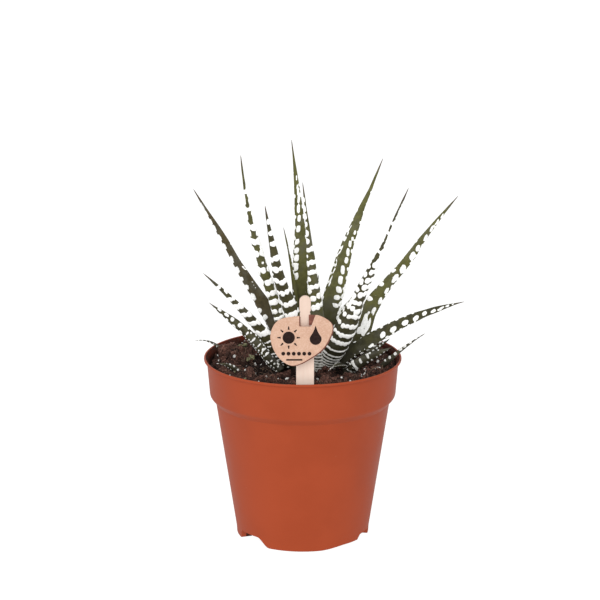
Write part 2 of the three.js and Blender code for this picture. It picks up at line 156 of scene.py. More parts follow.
# %% Shader groups
def new_group(name, output, **inputs):
    """An empty group with its given sockets and its single result."""
    group = Network(bpy.data.node_groups.new(name, "ShaderNodeTree"))
    for label, value in {"Place": None, "Scale": 100.0, **inputs}.items():
        kind = "NodeSocketFloat" if isinstance(value, float) else "NodeSocketVector"
        socket = group.tree.interface.new_socket(label, in_out="INPUT", socket_type=kind)
        if value is not None:
            socket.default_value = value
    group.tree.interface.new_socket(output, in_out="OUTPUT", socket_type="NodeSocketFloat")
    given = group.tree.nodes.new("NodeGroupInput").outputs
    return group, given, group.tree.nodes.new("NodeGroupOutput")


patches, given, result = new_group("Patches", "Mask", Low=0.4, High=0.6)
cloud = patches.noise(given["Place"], given["Scale"], 4.0, 0.55)
patches.fill(result, {0: patches.ramp(cloud, given["Low"], given["High"])})

grain, given, result = new_group("Grain", "Height", Stretch=(1.0, 1.0, 1.0))
drawn_out = grain.node("VectorMath", {0: given["Place"], 1: given["Stretch"]}, operation="MULTIPLY")
grain.fill(result, {0: grain.noise(drawn_out.outputs[0], given["Scale"], 6.0, 0.6)})

specks, given, result = new_group("Specks", "Mask", Size=0.2)
cells = specks.node("TexVoronoi", {"Vector": given["Place"], "Scale": given["Scale"]}).outputs["Distance"]
specks.fill(result, {0: specks.ramp(cells, given["Size"], specks.calculate(given["Size"], 0.6))})

dust, given, result = new_group("Dust", "Mask", Amount=0.3)
facing = dust.node("NewGeometry").outputs["Normal"]
upward = dust.node("SeparateXYZ", {0: facing}).outputs["Z"]
settled = dust.noise(given["Place"], given["Scale"], 6.0)
lying = dust.calculate(dust.ramp(upward, -0.1, 0.9), dust.ramp(settled, 0.42, 0.68))
dust.fill(result, {0: dust.calculate(lying, given["Amount"])})
print("shader groups:", [group.name for group in bpy.data.node_groups])

# %% [markdown]
# A Finish is the network of one material, with its shader and the place on the surface
# in metres. Many finishes are just two tones in patches, so these have a function.

# %% Finish
class Finish(Network):
    def __init__(self, name, roughness, shine=0.5):
        self.material = bpy.data.materials.new(name)
        self.material.use_nodes = True
        super().__init__(self.material.node_tree)
        self.shader = self.tree.nodes["Principled BSDF"]
        self.shade({"Roughness": roughness, "Specular IOR Level": shine})
        self.place = self.node("TexCoord").outputs["Object"]

    def shade(self, values):
        self.fill(self.shader, values)

    def effect(self, group, scale, place=None, **values):
        place = self.place if place is None else place
        values = {"Place": place, "Scale": scale, **values}
        return self.node("Group", values, node_tree=group.tree).outputs[0]

    def patchy(self, scale, low, high):
        return self.effect(patches, scale, Low=low, High=high)

    def by_height(self, low, high):
        """A soft step from 0 to 1 between two heights above the table."""
        return self.ramp(self.node("SeparateXYZ", {0: self.place}).outputs["Z"], low * MM, high * MM)

    def bump(self, height, distance, strength=1.0):
        values = {"Height": height, "Strength": strength, "Distance": distance}
        self.shade({"Normal": self.node("Bump", values).outputs[0]})


def two_tones(name, dark, light, scale, low, high, roughness=0.8, shine=0.5):
    finish = Finish(name, roughness, shine)
    mask = finish.patchy(scale, low, high)
    finish.shade({"Base Color": finish.mix(mask, dark, light)})
    return finish, mask


print("words that a finish adds:", [word for word in vars(Finish) if word[0] != "_"])

# %% [markdown]
# ## Light and floor
# White leaf bands read as white only in bright, even light. A white world lights every
# side, and the floor glows a little, like the lit sweep of paper in a product studio,
# so that hardly a shadow is left. In reflections the floor is dimmer, as a real table
# would be, or the pot's lower side would turn pale. One large soft lamp at the front, a
# bit to the left, gives the pot its gentle turn from light to dark.

# %% Light and floor
WORLD_STRENGTH = 0.86
LAMP_AT = (-280, -1400, 850)
LAMP_TARGET = (0, 0, 60)
LAMP_SIDE = 1.0
LAMP_POWER = 13.5
FLOOR_HALF = 6.0
FLOOR_GLOW = 0.98
FLOOR_IN_SHINE = 0.6

world = bpy.data.worlds.new("studio")
world.use_nodes = True
background = world.node_tree.nodes["Background"]
background.inputs["Color"].default_value = (1, 1, 1, 1)
background.inputs["Strength"].default_value = WORLD_STRENGTH
bpy.context.scene.world = world
bpy.context.scene.view_settings.view_transform = "Standard"

lamp_data = bpy.data.lights.new("key", "AREA")
lamp_data.shape = "SQUARE"
lamp_data.size = LAMP_SIDE
lamp_data.energy = LAMP_POWER
lamp = put("key", lamp_data, in_frame(LAMP_AT))
aim = Vector(in_frame(LAMP_TARGET)) - lamp.location
lamp.rotation_euler = aim.to_track_quat("-Z", "Y").to_euler()

floor_paint = Finish("floor_paint", 0.9)
in_shine = floor_paint.node("LightPath").outputs["Is Glossy Ray"]
floor_glow = floor_paint.ramp(in_shine, 0, 1, FLOOR_GLOW, FLOOR_IN_SHINE)
floor_paint.shade({
    "Base Color": (0.1, 0.1, 0.1), "Emission Color": (1, 1, 1), "Emission Strength": floor_glow})
floor_mesh = bpy.data.meshes.new("floor")
floor_corners = [(x * FLOOR_HALF, y * FLOOR_HALF, 0) for x, y in ((-1, -1), (1, -1), (1, 1), (-1, 1))]
floor_mesh.from_pydata(floor_corners, [], [(0, 1, 2, 3)])
floor_mesh.materials.append(floor_paint.material)
floor = put("floor", floor_mesh)

# %% [markdown]
# ## Helpers for meshes
# Every piece here is computed as points and faces. The helper makes the object, gives
# it its finish, lets it ride on the packed body, hides the packed node that it stands for
# and prints its name. Values that vary over the surface go along as attributes.

# %% Piece helper
SHARP_ANGLE = math.radians(40)


def triangles(piece):
    return sum(len(face.vertices) - 2 for face in piece.data.polygons)


def new_mesh(name, points, faces):
    mesh = bpy.data.meshes.new(name)
    mesh.from_pydata(in_frame(points).tolist(), [], faces)
    return mesh


def make_piece(name, points, faces, finish, slot, stands_for=None, attributes=None, smooth=True):
    mesh = new_mesh(name, points, faces)
    mesh.polygons.foreach_set("use_smooth", [smooth] * len(mesh.polygons))
    mesh.materials.append(finish.material)
    for label, values in (attributes or {}).items():
        attribute = mesh.attributes.new(label, "FLOAT", "POINT")
        attribute.data.foreach_set("value", np.asarray(values, np.float32))
    piece = put(name, mesh)
    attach(piece, "root")
    if stands_for:
        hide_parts(stands_for)
    print(name, triangles(piece), "triangles")
    return piece


def apply_modifiers(piece):
    """Replace the mesh by what its modifiers make of it."""
    view = bpy.context.evaluated_depsgraph_get()
    shaped = bpy.data.meshes.new_from_object(piece.evaluated_get(view))
    piece.modifiers.clear()
    piece.data = shaped
    print(piece.name, "has now", triangles(piece), "triangles")


print("meshes so far:", [mesh.name for mesh in bpy.data.meshes])

# %% [markdown]
# Shapes come from a few simple makers: a plate from its outline, a sleeve of faces over
# rings of points, and a polyline whose corners are rounded.

# %% Shape helpers
def smoothstep(low, high, value):
    share = np.clip((np.asarray(value, float) - low) / (high - low), 0, 1)
    return share * share * (3 - 2 * share)


def flipped(faces):
    return [tuple(reversed(face)) for face in faces]


def join_shapes(shapes):
    """One list of points and one of faces from several."""
    points, faces, start = [], [], 0
    for part_points, part_faces in shapes:
        points.append(part_points)
        faces += [tuple(index + start for index in face) for face in part_faces]
        start += len(part_points)
    return np.concatenate(points), faces


def plate(outline, thickness):
    """Points and faces of an outline of (x, z), from the front at -thickness to the back at 0."""
    count = len(outline)
    points = [(x, -thickness, z) for x, z in outline] + [(x, 0, z) for x, z in outline]
    faces = [tuple(range(count)), tuple(reversed(range(count, 2 * count)))]
    faces += [((i + 1) % count, i, i + count, (i + 1) % count + count) for i in range(count)]
    return np.array(points, float), faces


def sleeve(rings, sides):
    """Four-sided faces over rings of points that follow one another."""
    index = np.arange(rings * sides).reshape(rings, sides)
    after = np.roll(index, -1, axis=1)
    return np.stack([index[:-1], index[1:], after[1:], after[:-1]], axis=-1).reshape(-1, 4)


def rounded(corners, steps=4):
    """A polyline of (x, y, rounding) with each corner replaced by a short curve."""
    line = []
    for before, corner, after in zip([corners[0], *corners[:-1]], corners, [*corners[1:], corners[-1]]):
        here = np.array(corner[:2])
        if corner[2] == 0:
            line.append(tuple(here))
            continue
        back, forth = np.array(before[:2]) - here, np.array(after[:2]) - here
        start = here + back * min(0.5, corner[2] / np.linalg.norm(back))
        end = here + forth * min(0.5, corner[2] / np.linalg.norm(forth))
        for share in np.arange(steps + 1) / steps:
            line.append(tuple((1 - share) ** 2 * start + 2 * share * (1 - share) * here + share ** 2 * end))
    return line


print("points of a bend:", len(rounded([(0, 0, 0), (1, 0, 0.5), (1, 1, 0)])))

# %% [markdown]
# ## Pot
# A nursery pot is moulded in thin plastic: a tapered cup, a straight band that the hand
# holds, a lip that flares out to a thin bead, and a foot ring with flat arches. It is
# turned from one profile with rounded corners. The arches are raised in that mesh, and
# only the drain holes are cut.

# %% Pot sizes and profile
POT_HEIGHT = 83.5
LIP_RADIUS = 45.0
LIP_THICKNESS = 1.2
LIP_UNDER = POT_HEIGHT - LIP_THICKNESS
BAND_TOP_RADIUS = 43.7
BAND_LOW_RADIUS = 42.35
BAND_LOW_HEIGHT = 66.0
CREASE_RADIUS = 39.75
CREASE_HEIGHT = 63.0
FOOT_RADIUS = 30.55
FOOT_HEIGHT = 3.0
FOOT_RING = 5.6
FOOT_LIT = 2.6
WALL = 1.0
FLOOR_UNDERSIDE = 5.4
FLOOR_TOP = 6.4
POT_SIDES = 360


def wall_radius(height):
    share = (height - FOOT_HEIGHT) / (CREASE_HEIGHT - FOOT_HEIGHT)
    return FOOT_RADIUS + share * (CREASE_RADIUS - FOOT_RADIUS)


pot_profile = rounded([
    (0, FLOOR_TOP, 0),
    (wall_radius(FLOOR_TOP) - WALL, FLOOR_TOP, 1.5),
    (CREASE_RADIUS - WALL, CREASE_HEIGHT, 1),
    (BAND_LOW_RADIUS - WALL, BAND_LOW_HEIGHT + 0.2, 1.5),
    (BAND_TOP_RADIUS - WALL, LIP_UNDER - 0.7, 0.8),
    (LIP_RADIUS - 0.9, POT_HEIGHT - 0.2, 0.4),
    (LIP_RADIUS - 0.5, POT_HEIGHT, 0.2),
    (LIP_RADIUS, POT_HEIGHT - 0.1, 0.3),
    (LIP_RADIUS, LIP_UNDER + 0.1, 0.4),
    (BAND_TOP_RADIUS, LIP_UNDER - 0.2, 0.35),
    (BAND_LOW_RADIUS, BAND_LOW_HEIGHT, 0.9),
    (CREASE_RADIUS, CREASE_HEIGHT, 0.35),
    (FOOT_RADIUS, FOOT_HEIGHT, 0.6),
    (FOOT_RADIUS - 0.2, 0, 0.35),
    (FOOT_RADIUS - FOOT_LIT, 0, 0),
    (FOOT_RADIUS - FOOT_RING, 0, 0.3),
    (FOOT_RADIUS - FOOT_RING + 0.2, FLOOR_UNDERSIDE, 0.6),
    (0, FLOOR_UNDERSIDE, 0),
])
print("points in the pot's profile:", len(pot_profile))


# %% [markdown]
# A turned mesh repeats the profile round the axis. The first and last point lie on the
# axis itself, so each becomes a single vertex with a fan of triangles.

# %% Turn the pot
def turned(profile, sides):
    """Points and faces of a profile of (radius, height) that starts and ends on the axis."""
    angles = np.arange(sides) * 2 * math.pi / sides
    points = [(radius * math.cos(a), radius * math.sin(a), height)
              for radius, height in profile[1:-1] for a in angles]
    faces = sleeve(len(profile) - 2, sides).tolist()
    top, last = len(points), len(points) - sides
    points += [(0, 0, profile[0][1]), (0, 0, profile[-1][1])]
    for side in range(sides):
        after = (side + 1) % sides
        faces += [(top, side, after), (top + 1, last + after, last + side)]
    return np.array(points), faces


pot_points, pot_faces = turned(pot_profile, POT_SIDES)
print("points in the pot:", len(pot_points))

# %% [markdown]
# The foot stands on pads with arches between them. An arch is given by four turns round
# the axis and a height: where the lower edge starts to rise, where it is up, where it
# starts to sink and where it is down again. The points of the foot are lifted on to that
# edge, and pushed out as far as the sloping wall asks for.

# %% Raise the arches of the foot
FOOT_ARCHES = (
    (-69, -64, -42, -30.5, 4.4),
    (52.5, 59, 76, 79.5, 3.4),
    (14, 40, 76, 79.5, 1.15),
    (175, 180, 198, 203, 4.4),
)

in_foot = pot_points[:, 2] < FLOOR_UNDERSIDE - 0.01
x, y, z = pot_points[in_foot].T
turn = (np.degrees(np.arctan2(x, -y)) + 90) % 360 - 90
rises = [high * smoothstep(start, up, turn) * (1 - smoothstep(sinks, down, turn))
         for start, up, sinks, down, high in FOOT_ARCHES]
lifted = np.max(rises, axis=0) * (1 - z / FLOOR_UNDERSIDE)
wall_slope = (CREASE_RADIUS - FOOT_RADIUS) / (CREASE_HEIGHT - FOOT_HEIGHT)
farther = 1 + lifted * wall_slope / np.hypot(x, y)
pot_points[in_foot] = np.stack([x * farther, y * farther, z + lifted], axis=1)
print("highest arch of the foot, mm:", round(float(lifted.max()), 1))

# %% [markdown]
# ### Terracotta-coloured plastic
# The colour goes right through the plastic. What makes it look moulded is a faint
# cloudiness, a very fine skin that softens the shine, a few pale specks, and a little
# brown dust on whatever faces up. The inside is smeared with potting mix, and its plastic
# is painted far darker, as painted shade, so it has a finish of its own.

# %% Pot plastic
SMEAR_LOW = (10, 20)
SMEAR_HIGH = (82.6, 79.5)

plastic = Finish("terracotta_plastic", 0.42, 0.14)
cloudy = plastic.patchy(45.0, 0.3, 0.7)
colour = plastic.mix(cloudy, (0.308, 0.048, 0.014), (0.333, 0.053, 0.016))
rare_speck = plastic.calculate(plastic.effect(specks, 95.0, Size=0.036), plastic.patchy(60.0, 0.56, 0.6))
colour = plastic.mix(rare_speck, colour, (0.5, 0.25, 0.17))
colour = plastic.mix(plastic.effect(dust, 300.0, Amount=0.35), colour, (0.22, 0.10, 0.06))
plastic.shade({"Base Color": colour, "Roughness": plastic.ramp(cloudy, 0, 1, 0.42, 0.5)})
plastic.bump(plastic.effect(grain, 1500.0), 0.00002, 0.5)

# The plastic inside is painted far darker than outside, as painted shade; the smears of potting mix over it
# are dirt.
inside = Finish("painted_shade_earthy_inside", 0.7, 0.05)
smears = inside.patchy(170.0, 0.36, 0.56)
crumbly = inside.patchy(1100.0, 0.4, 0.6)
soil_line = inside.calculate(inside.by_height(*SMEAR_HIGH), inside.by_height(*SMEAR_LOW))
smeared = inside.calculate(smears, inside.ramp(crumbly, 0, 1, 0.5, 1))
earth_tone = inside.mix(crumbly, (0.014, 0.008, 0.007), (0.05, 0.027, 0.02))
earthy = inside.calculate(soil_line, smeared, "MAXIMUM")
inside.shade({"Base Color": inside.mix(earthy, (0.085, 0.013, 0.005), earth_tone)})
inside.bump(crumbly, 0.0001, 0.6)
print("pot finishes:", plastic.material.name, inside.material.name)

# %% [markdown]
# The drain holes go through the floor of the pot. Six cylinders are joined into one
# cutter, and a Boolean modifier takes them away. Faces that look inwards, and those under
# the floor, then get the earthy finish with its painted shade.

# %% Make the pot
DRAIN_HOLES = 6
DRAIN_RADIUS = 2.5
DRAIN_CIRCLE = 18.0


def drain_hole(turn):
    """A cylinder through the floor of the pot at a turn round its axis."""
    high, low = FLOOR_TOP + 2, FLOOR_UNDERSIDE - 2
    points, faces = turned([(0, high), (DRAIN_RADIUS, high), (DRAIN_RADIUS, low), (0, low)], 32)
    return points + (DRAIN_CIRCLE * math.sin(turn), -DRAIN_CIRCLE * math.cos(turn), 0), flipped(faces)


holes = [drain_hole(math.radians(hole * 360 / DRAIN_HOLES)) for hole in range(DRAIN_HOLES)]
cutter = put("cutter", new_mesh("cutter", *join_shapes(holes)))
pot = make_piece("pot_moulded", pot_points, pot_faces, plastic, "pot", "pot")
drill = pot.modifiers.new("drill", "BOOLEAN")
drill.object = cutter
drill.operation = "DIFFERENCE"
apply_modifiers(pot)
bpy.data.objects.remove(cutter)
pot.data.set_sharp_from_angle(angle=SHARP_ANGLE)
pot.data.materials.append(inside.material)
for polygon in pot.data.polygons:
    from_axis = polygon.center - POT_AXIS
    high = from_axis.z
    from_axis.z = 0
    looks_in = polygon.normal.dot(from_axis.normalized()) < 0 and from_axis.length < (LIP_RADIUS - 0.8) * MM
    # Faces under the floor take the dark inside finish: painted shade under the pot.
    under = high < FLOOR_TOP * MM and from_axis.length < (FOOT_RADIUS - FOOT_LIT) * MM
    polygon.material_index = int(looks_in or under)
print("earthy faces of the pot:", sum(polygon.material_index for polygon in pot.data.polygons))

# %% [markdown]
# ## Soil
# The potting mix is dark peat, a little heaped at the front, with clods, crumbs, white
# grains of perlite and stray fibres. The bed is a field of heights: the same soft lumps
# as in the packed soil, a rise towards the rim where the mix was pressed against the
# wall, a few dips between the plants, and finer roughness on top.

# %% Sizes and lumps of the soil
SOIL_LEVEL = 78.0
SOIL_HEAP = 1.1
HEAP_GROWS = (5, 35)
RIM_RISE_FRONT = 2.4
RIM_RISE_BACK = 4.3
FRONT_TO_BACK = (-28, 0)
RIM_RISES = (24, 35)
RIM_SINKS = (37.5, 41)
RIM_SINK_SHARE = 0.45
SOIL_HOLLOW = -0.6
SOIL_LUMPS = 34
LUMP_REACH = 39.0
LUMP_SIZE = 2.6
LUMP_RISE = 1.5
LUMP_LIMIT = 2.4
SOIL_DIPS = ((27, -14, 6.5, 1.5), (-21.5, -6, 6, 1.8), (-40, -7, 4, 1.5), (-9, -27, 4, 1.0))
CROWN_AT = (2.0, 3.0)
CROWN_SEAT = 13
STICK_AT = (1.0, -37.2, SOIL_LEVEL)
STICK_SEAT = 5
OFFSET_SEAT = 6
OFFSET_PLACES = {
    "offset_front_right": (20, -8), "offset_right_rim": (34, -8),
    "offset_left_front": (-27.5, -17), "offset_left_back": (-34, 12),
}


def seeded_random(seed):
    """The packed model's own random numbers, so that its lumps lie in the same places."""
    while True:
        seed = (seed * 1664525 + 1013904223) % 4294967296
        yield seed / 4294967296


draw = seeded_random(41)
soil_lumps = []
for _ in range(SOIL_LUMPS):
    angle = next(draw) * 2 * math.pi
    reach = LUMP_REACH * math.sqrt(next(draw))
    size = LUMP_SIZE * (1 + next(draw))
    rise = LUMP_RISE * (0.6 + next(draw))
    soil_lumps.append((reach * math.cos(angle), reach * math.sin(angle), size, rise))
soil_seats = [(*CROWN_AT, CROWN_SEAT), (*STICK_AT[:2], STICK_SEAT)]
soil_seats += [(*at, OFFSET_SEAT) for at in OFFSET_PLACES.values()]
print("lumps in the soil:", len(soil_lumps))


# %% Height of the soil
def ripples(seed, wavelength, waves=18):
    """A soft random field over a plane, as a sum of waves in random directions."""
    rng = np.random.default_rng(seed)
    turns = rng.uniform(0, 2 * math.pi, waves)
    numbers = 2 * math.pi / (wavelength * rng.uniform(0.7, 1.5, waves))
    each = list(zip(numbers, turns, rng.uniform(0, 2 * math.pi, waves)))

    def field(x, y):
        total = 0
        for number, turn, phase in each:
            total = total + np.cos(number * (x * np.cos(turn) + y * np.sin(turn)) + phase)
        return total / math.sqrt(waves / 2)
    return field


def bumps(x, y, places):
    """Round bumps given as (x, y, size, height)."""
    total = 0
    for at_x, at_y, size, high in places:
        total = total + high * np.exp(-((x - at_x) ** 2 + (y - at_y) ** 2) / size ** 2)
    return total


SOIL_WAVES = ((0.45, ripples(5, 7.0)), (0.35, ripples(6, 2.6)), (0.16, ripples(7, 1.1, 26)))


def soil_height(x, y):
    level = np.ones_like(x)
    for seat_x, seat_y, radius in soil_seats:
        level = np.minimum(level, smoothstep(radius * 0.6, radius, np.hypot(x - seat_x, y - seat_y)))
    height = SOIL_LEVEL + SOIL_HOLLOW * level + SOIL_HEAP * smoothstep(*HEAP_GROWS, -y)
    height = height + level * np.minimum(bumps(x, y, soil_lumps), LUMP_LIMIT)
    rim_rise = RIM_RISE_FRONT + (RIM_RISE_BACK - RIM_RISE_FRONT) * smoothstep(*FRONT_TO_BACK, y)
    rim_rise = rim_rise * smoothstep(5, 9, np.hypot(x - STICK_AT[0], y - STICK_AT[1] + 2))
    out = np.hypot(x, y)
    sunk = 1 - RIM_SINK_SHARE * smoothstep(*RIM_SINKS, out)
    height = height + rim_rise * smoothstep(*RIM_RISES, out) * sunk
    height = height - bumps(x, y, SOIL_DIPS)
    for high, field in SOIL_WAVES:
        height = height + high * field(x, y)
    return np.minimum(height, POT_HEIGHT - 0.5)


print("soil at the front edge, mm:", round(float(soil_height(np.array(0.0), np.array(-40.0))), 2))

# %% [markdown]
# ### Peat, perlite and fibre
# Peat is matt and nearly black where it is damp, and pinkish brown where crumbs have
# dried. Patches at two sizes mix these tones. Broad patches, small pits and hollows below
# the level of the bed are painted darker still: painted shade, with damper peat in the
# hollows. Perlite is white volcanic glass, grey in its pores. The fibres are tan.

# %% Soil finishes
PAINTED_SHADE_TONE = (0.008, 0.005, 0.004)
HOLLOW_SHADE_HEIGHTS = (80.2, 78.5)


def earth_finish(name, damp, dry, crust):
    earth = Finish(name, 0.95, 0.2)
    colour = earth.mix(earth.patchy(220.0, 0.4, 0.62), damp, dry)
    colour = earth.mix(earth.patchy(1300.0, 0.45, 0.68), colour, crust)
    # Broad patches painted back to the damp tone: painted shade.
    colour = earth.mix(earth.calculate(earth.patchy(85.0, 0.46, 0.6), 0.5), colour, damp)
    # Hollows below the bed's level are painted darker: painted shade, with damper peat.
    colour = earth.mix(earth.calculate(earth.by_height(*HOLLOW_SHADE_HEIGHTS), 0.8), colour, PAINTED_SHADE_TONE)
    # Small pits in the darkest tone: painted shade in the gaps between crumbs.
    pit_shade = earth.patchy(1700.0, 0.5, 0.38)
    earth.shade({"Base Color": earth.mix(earth.calculate(pit_shade, 0.75), colour, PAINTED_SHADE_TONE)})
    earth.bump(earth.effect(grain, 2200.0), 0.0005)
    return earth


peat = earth_finish("damp_peat", (0.020, 0.009, 0.007), (0.062, 0.028, 0.020), (0.140, 0.068, 0.050))
dry_peat = earth_finish("dry_peat", (0.054, 0.022, 0.015), (0.138, 0.060, 0.043), (0.245, 0.132, 0.102))
moss, tufts = two_tones("moss_bits", (0.10, 0.095, 0.04), (0.36, 0.35, 0.19), 1500.0, 0.35, 0.65)
moss.bump(tufts, 0.0003)
perlite, _ = two_tones("perlite_grain", (0.32, 0.30, 0.28), (0.78, 0.78, 0.75), 1800.0, 0.35, 0.6)
perlite.bump(perlite.effect(grain, 2500.0), 0.0003)
fibre, _ = two_tones("peat_fibre", (0.09, 0.05, 0.035), (0.22, 0.14, 0.09), 500.0, 0.35, 0.65)
fibre.bump(fibre.effect(grain, 3000.0), 0.0001)
print("soil finishes:", [each.material.name for each in (peat, dry_peat, moss, perlite, fibre)])

# %% [markdown]
# The bed's top is a disc of rings, close enough together to carry the fine roughness.
# Its side follows the inside of the pot, a hair away from it.

# %% Make the bed of soil
SOIL_EDGE = 42.1
SOIL_RINGS = 104
SOIL_SIDES = 300
SOIL_GAP = WALL + 0.3
soil_profile = [(SOIL_EDGE * ring / SOIL_RINGS, SOIL_LEVEL) for ring in range(SOIL_RINGS + 1)]
soil_profile += [
    (BAND_LOW_RADIUS - SOIL_GAP - 0.15, BAND_LOW_HEIGHT + 0.6),
    (CREASE_RADIUS - SOIL_GAP - 0.1, CREASE_HEIGHT),
    (wall_radius(FLOOR_TOP) - SOIL_GAP, FLOOR_TOP + 0.3),
    (0, FLOOR_TOP + 0.3),
]
soil_points, soil_faces = turned(soil_profile, SOIL_SIDES)
on_top = soil_points[:, 2] > SOIL_LEVEL - 0.01
soil_points[on_top, 2] = soil_height(soil_points[on_top, 0], soil_points[on_top, 1])
make_piece("soil_bed", soil_points, flipped(soil_faces), peat, "soil", "soil")

# %% [markdown]
# ### Crumbs, clods and grains
# A crumb is a small ball whose points are pushed in and out by a random field. The same
# function makes fluffy clods, fine crumbs and angular perlite: only size, roughness and
# finish differ. Places are drawn from a seeded random source, off the plants, the stick
# and the dips.

# %% Scatter helper
BESIDE_STICK = 4.5
BEHIND_STICK = 1.5
ROUND_OFFSET = 2.5
LARGE_CRUMB = 0.9


def ball(level):
    """Points and faces of a ball of triangles."""
    shape = bmesh.new()
    bmesh.ops.create_icosphere(shape, subdivisions=level, radius=1)
    points = np.array([vertex.co[:] for vertex in shape.verts])
    faces = [[vertex.index for vertex in face.verts] for face in shape.faces]
    shape.free()
    return points, faces


def rough_ball(rng, unit_points, size, roughness, fluff):
    """Points of a ball pushed in and out by broad waves, and by fine ones where it is fluffy."""
    squash = rng.uniform(0.65, 1.2, 3)
    push = 1
    for share, count, fineness in ((roughness, 7, 2.2), (fluff, 12, 9)):
        if share:
            waves = rng.normal(0, 1, (count, 3)) * fineness
            push += share * np.cos(unit_points @ waves.T + rng.uniform(0, 2 * math.pi, count)).sum(1) / 3
    return unit_points * push[:, None] * squash * size


def is_free(x, y, size, keep_off):
    near_stick = abs(x - STICK_AT[0]) < BESIDE_STICK + size and y < STICK_AT[1] + BEHIND_STICK + size
    near_crown = math.hypot(x - CROWN_AT[0], y - CROWN_AT[1]) < keep_off
    from_offset = min(math.hypot(x - at_x, y - at_y) for at_x, at_y in OFFSET_PLACES.values())
    near_offset = from_offset < ROUND_OFFSET + size
    from_dip = min(math.hypot(x - at_x, y - at_y) - reach for at_x, at_y, reach, _ in SOIL_DIPS)
    in_dip = size > LARGE_CRUMB and from_dip < 0.5
    return not (near_crown or near_stick or near_offset or in_dip or math.hypot(x, y) + size > SOIL_EDGE)


def scatter(seed, count, sizes, level, roughness, sink, keep_off=12.0, fluff=0.0, chosen=()):
    """Rough balls on the soil: first at the chosen (x, y, radius), then `count` at random places."""
    rng = np.random.default_rng(seed)
    unit_points, unit_faces = ball(level)
    shapes = []
    while len(shapes) < count + len(chosen):
        if len(shapes) < len(chosen):
            x, y, size = chosen[len(shapes)]
        else:
            turn, out = rng.uniform(0, 2 * math.pi), (SOIL_EDGE - 0.7) * math.sqrt(rng.uniform())
            x, y = out * math.cos(turn), out * math.sin(turn)
            size = sizes[0] + (sizes[1] - sizes[0]) * rng.uniform() ** 2
            if not is_free(x, y, size, keep_off):
                continue
        at = (x, y, soil_height(np.array([x]), np.array([y]))[0] + size * sink)
        shapes.append((rough_ball(rng, unit_points, size, roughness, fluff) + at, unit_faces))
    return join_shapes(shapes)


print("points of the finest ball:", len(ball(4)[0]))

# %% Scatter clods, crumbs and perlite
LARGE_CLODS = [(-25, -15, 3.6), (-7, -16, 2.6), (-36, 8, 3.2), (13, -29, 2.4), (-14, -24, 2.4)]
WHITE_GRAINS = [
    (-36, 14, 1.0), (-31, 4, 0.9), (-39, 12, 0.5), (-23, -15, 0.8), (-29, -20, 0.8), (-26, -18, 0.5),
    (-16, -29, 0.7), (-11, -31, 1.0), (-7, -31, 0.7), (-6, -24, 0.9), (6, -27, 1.2), (34, -13, 1.1),
    (34, -6, 0.8), (36, -9, 0.9), (28, -15, 0.7), (26, -24, 0.7), (21, -31, 0.6),
]
GREEN_TUFTS = [(-29, 21, 1.7), (-26.5, 22, 1.3), (-24, 9.5, 2.0), (-25, 3, 1.3)]
LITTER = {
    "soil_clods": (dry_peat, 11, 48, (1.2, 3.0), 4, 0.2, 0.1, 13, 0.1, LARGE_CLODS),
    "soil_lumps": (dry_peat, 16, 280, (0.6, 1.5), 3, 0.24, 0.25, 12, 0.12),
    "soil_crumbs": (dry_peat, 12, 650, (0.25, 0.8), 2, 0.22, 0.4),
    "soil_dark_crumbs": (peat, 13, 500, (0.35, 1.2), 2, 0.24, 0.25),
    "perlite_grains": (perlite, 14, 110, (0.25, 0.7), 2, 0.2, 0.7, 12, 0, WHITE_GRAINS),
    "moss_tufts": (moss, 17, 5, (0.5, 0.8), 3, 0.25, 0.6, 20, 0.15, GREEN_TUFTS),
}
for name, (finish, *how) in LITTER.items():
    make_piece(name, *scatter(*how), finish, "soil")

# %% [markdown]
# A few crumbs have been left on the sloping lip when the pot was filled.

# %% Crumbs on the lip
SLOPE_OUT = 2.3
SLOPE_UP = 1.7


def lip_crumbs(seed, count):
    rng = np.random.default_rng(seed)
    unit_points, unit_faces = ball(2)
    shapes = []
    for _ in range(count):
        turn, share, size = rng.uniform(0, 2 * math.pi), rng.uniform(0, 0.9), rng.uniform(0.12, 0.4)
        radius = BAND_TOP_RADIUS - WALL + share * SLOPE_OUT
        high = LIP_UNDER - 0.7 + share * SLOPE_UP + size * 0.6
        at = (radius * math.cos(turn), radius * math.sin(turn), high)
        shapes.append((unit_points * rng.uniform(0.6, 1.2, 3) * size + at, unit_faces))
    return join_shapes(shapes)


make_piece("lip_crumbs", *lip_crumbs(18, 90), peat, "soil")

# %% [markdown]
# Peat fibres are thin bent threads that lie on the crumbs. Each is a tube of four sides
# round a short arc.

# %% Lay the fibres
FIBRE_POINTS = 9


def unit(vectors):
    return vectors / np.linalg.norm(vectors, axis=-1, keepdims=True)


def thread(line, radius, sides=4):
    """Points and faces of a closed thin tube along a line of points."""
    along = unit(np.gradient(line, axis=0))
    aside = unit(np.cross(along, (0.3, 0.2, 1.0)))
    above = np.cross(aside, along)
    taper = np.full(len(line), radius)
    taper[[0, -1]] = radius * 0.4
    angle = np.arange(sides)[:, None] * 2 * math.pi / sides
    round_it = np.cos(angle) * aside[:, None] + np.sin(angle) * above[:, None]
    points = (line[:, None] + taper[:, None, None] * round_it).reshape(-1, 3)
    ends = [tuple(range(sides)), tuple(reversed(range(len(points) - sides, len(points))))]
    return points, sleeve(len(line), sides).tolist() + ends


